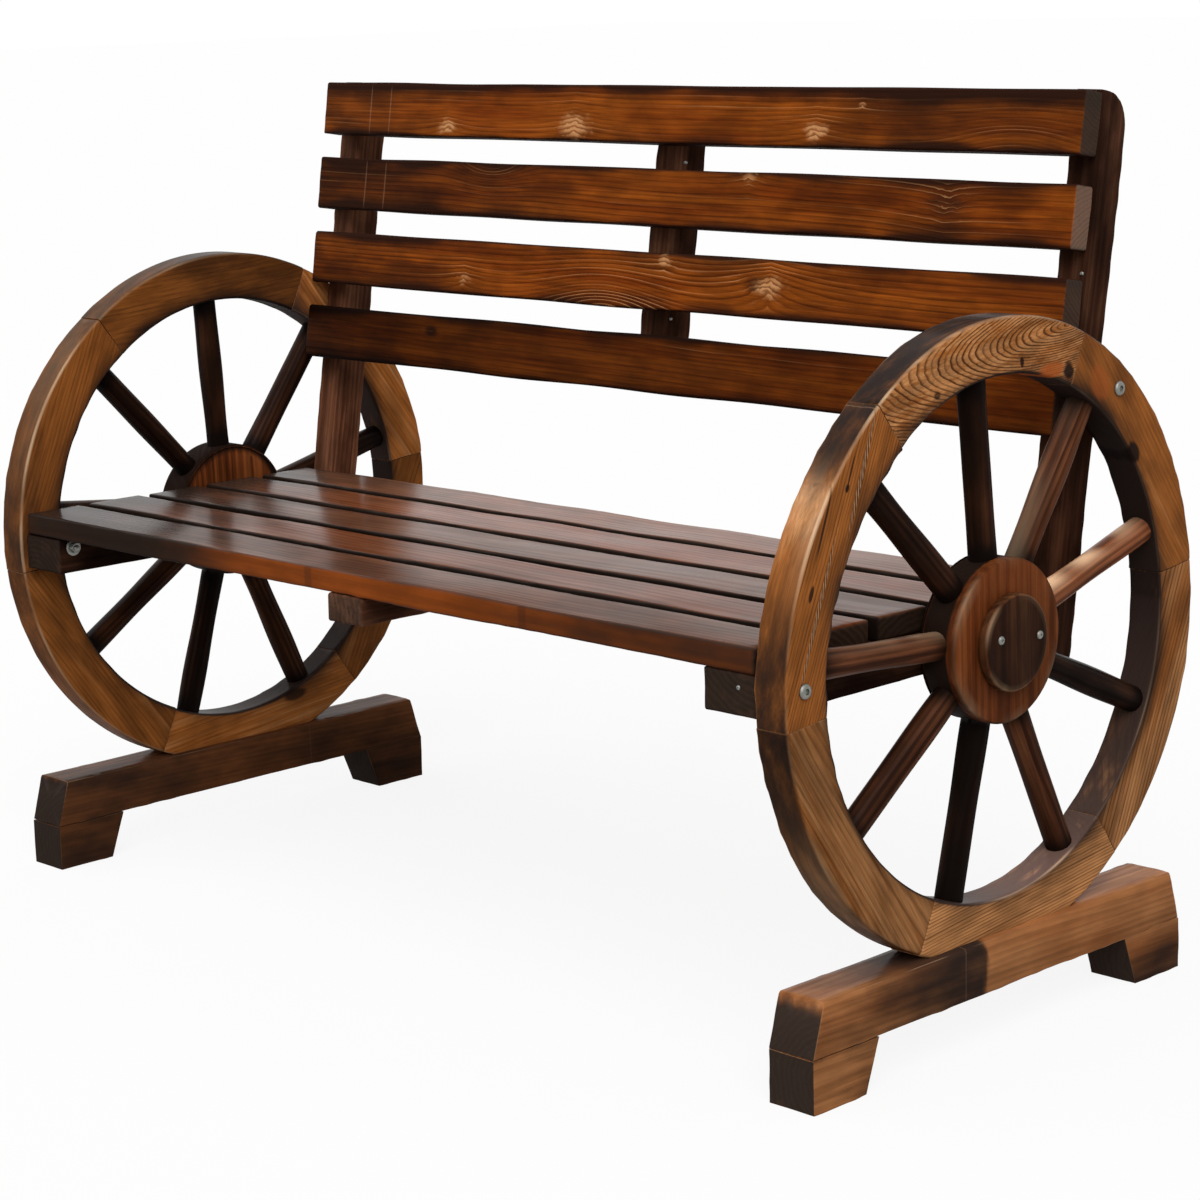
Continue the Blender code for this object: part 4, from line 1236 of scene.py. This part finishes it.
def make_screws(steel):
    """Screw heads: on the hub caps, behind the posts, below the seat, below the feet, and small pins."""
    down = (0, 0, -1)
    groups = {"back_screws": [], "seat_screws": [], "foot_screws": [], "pins": []}
    caps = {}
    for hand, side in SIDES.items():
        middle, size = node_box(f"hub_cap_{hand}")
        aside = np.array([0, cos(CAP_SCREW_TILT), sin(CAP_SCREW_TILT)]) * CAP_SCREW_SPACING / 2
        centre = middle + np.array([side * size[0] / 2, CAP_SCREW_SHIFT, CAP_SCREW_SHIFT])
        caps[f"cap_screws_{hand}"] = [(centre + turn * aside, (side, 0, 0), CAP_SCREW) for turn in (-1, 1)]
    axes = back_axes()
    _, up, out = axes
    for post in ("left", "middle", "right"):
        middle, size = node_box(f"back_post_{post}", axes)
        for slat in range(1, len(BACK_LOOK) + 1):
            height = (node_box(f"back_slat_{slat}", axes)[0] - middle) @ up
            groups["back_screws"].append((middle + height * up - size[2] / 2 * out, -out, WOOD_SCREW))
    for carrier in ("seat_beam_left", "seat_batten", "seat_beam_right"):
        middle, size = node_box(carrier)
        for slat in range(1, len(SEAT_LOOK) + 1):
            y = node_box(f"seat_slat_{slat}")[0][1]
            place = np.array([middle[0], y, middle[2] - size[2] / 2])
            groups["seat_screws"].append((place, down, WOOD_SCREW))
    for hand in ("left", "right"):
        middle, size = node_box(f"foot_runner_{hand}")
        for way in (-1, 1):
            place = middle + np.array([0, way * RIM_SCREW_SPACING / 2, -size[2] / 2])
            groups["foot_screws"].append((place, down, WOOD_SCREW))
    for post, slat, way, apart in PINS:
        middle, size = node_box(f"back_post_{post}", axes)
        beside, slat_size = node_box(f"back_slat_{slat}", axes)
        height = (beside - middle) @ up + way * (slat_size[1] / 2 + apart)
        corner = np.array([size[0] / 2 - PIN_INSET, height, size[2] / 2])
        groups["pins"].append((middle + corner @ axes, out, PIN))
    middle, size = node_box("seat_beam_right")
    place = middle + np.array([BEAM_PIN[0], -size[1] / 2, BEAM_PIN[1]])
    groups["pins"].append((place, (0, -1, 0), PIN))
    for name, heads in {**caps, **groups}.items():
        metal_piece(name, [screw_head(*head) for head in heads], steel)


def seen_ray(finish):
    """1 for camera, glossy and transmission rays, 0 for the others."""
    kinds = ("Camera", "Glossy", "Transmission")
    rays = [finish.node("LightPath", {}, {}, f"Is {kind} Ray") for kind in kinds]
    return rays[0].math("MAXIMUM", rays[1]).math("MAXIMUM", rays[2])


def make_floor():
    """Wide floor: white with a faint shadow as seen, while it lights the object as a grey one does."""
    mesh = bpy.data.meshes.new("floor")
    corners = FLOOR_HALF * np.array([(-1, -1, 0), (1, -1, 0), (1, 1, 0), (-1, 1, 0)])
    mesh.from_pydata(corners.tolist(), [], [(0, 1, 2, 3)])
    floor = bpy.data.objects.new("floor", mesh)
    bpy.context.scene.collection.objects.link(floor)
    pale = Finish(bpy.data.materials.new("pale_floor"))
    seen = seen_ray(pale)
    colour = pale.mix(FLOOR_BOUNCE, FLOOR_WHITE, seen)
    pale.surface(Base_Color=colour, Roughness=0.9, Specular_IOR_Level=0.0)
    lit = Wire(pale, pale.shader.outputs[0])
    blend = pale.node("MixShader", {}, {0: seen * FLOOR_GLOW, 1: lit, 2: pale.node("Emission", {}, {})})
    pale.plug(pale.nodes["Material Output"].inputs["Surface"], blend)
    mesh.materials.append(pale.block)


def make_world():
    """White round the scene as seen, and an even soft light of SKY_LEVEL on the object."""
    world = bpy.data.worlds.new("studio")
    sky = Finish(world, "Background")
    sky.surface(Color=WHITE, Strength=seen_ray(sky) * (1.0 - SKY_LEVEL) + SKY_LEVEL)
    bpy.context.scene.world = world


def make_sun(name, azimuth, elevation, strength, angle):
    """Wide, soft, parallel light from an azimuth (0 from the front, 90 from the right) and elevation."""
    light = bpy.data.lights.new(name, "SUN")
    light.energy = strength
    light.angle = radians(angle)
    lamp = bpy.data.objects.new(name, light)
    turn = Matrix.Rotation(radians(azimuth), 4, "Z") @ Matrix.Rotation(radians(90 - elevation), 4, "X")
    lamp.matrix_world = turn
    bpy.context.scene.collection.objects.link(lamp)


def make_camera():
    """Camera of the photograph: place, yaw, pitch, roll and focal length in its pixels."""
    level = np.array([cos(CAMERA_YAW), sin(CAMERA_YAW), 0.0])
    ahead = cos(CAMERA_PITCH) * np.array([-sin(CAMERA_YAW), cos(CAMERA_YAW), 0.0])
    ahead[2] = sin(CAMERA_PITCH)
    above = np.cross(level, ahead)
    right = cos(CAMERA_ROLL) * level + sin(CAMERA_ROLL) * above
    up = cos(CAMERA_ROLL) * above - sin(CAMERA_ROLL) * level
    data = bpy.data.cameras.new("photo_camera")
    data.sensor_width = SENSOR
    data.lens = FOCAL_PIXELS * SENSOR / PHOTO_SIDE
    data.clip_end = VIEW_END
    camera = bpy.data.objects.new("photo_camera", data)
    turn = Matrix(np.stack([right, up, -ahead], 1).tolist()).to_4x4()
    camera.matrix_world = Matrix.Translation(CAMERA_PLACE) @ turn
    bpy.context.scene.collection.objects.link(camera)
    bpy.context.scene.camera = camera


def main():
    """Finished pieces, then floor, world, lamps and camera."""
    steel = plated_steel("fastener_steel")
    make_seat()
    make_back()
    make_frame_timber()
    make_feet()
    make_rims()
    make_spokes()
    make_hubs()
    make_bolts(steel)
    make_screws(steel)
    make_floor()
    make_world()
    make_sun("key_light", *KEY_LIGHT)
    make_sun("fill_light", *FILL_LIGHT)
    make_camera()
    bpy.context.scene.view_settings.view_transform = "Standard"


main()
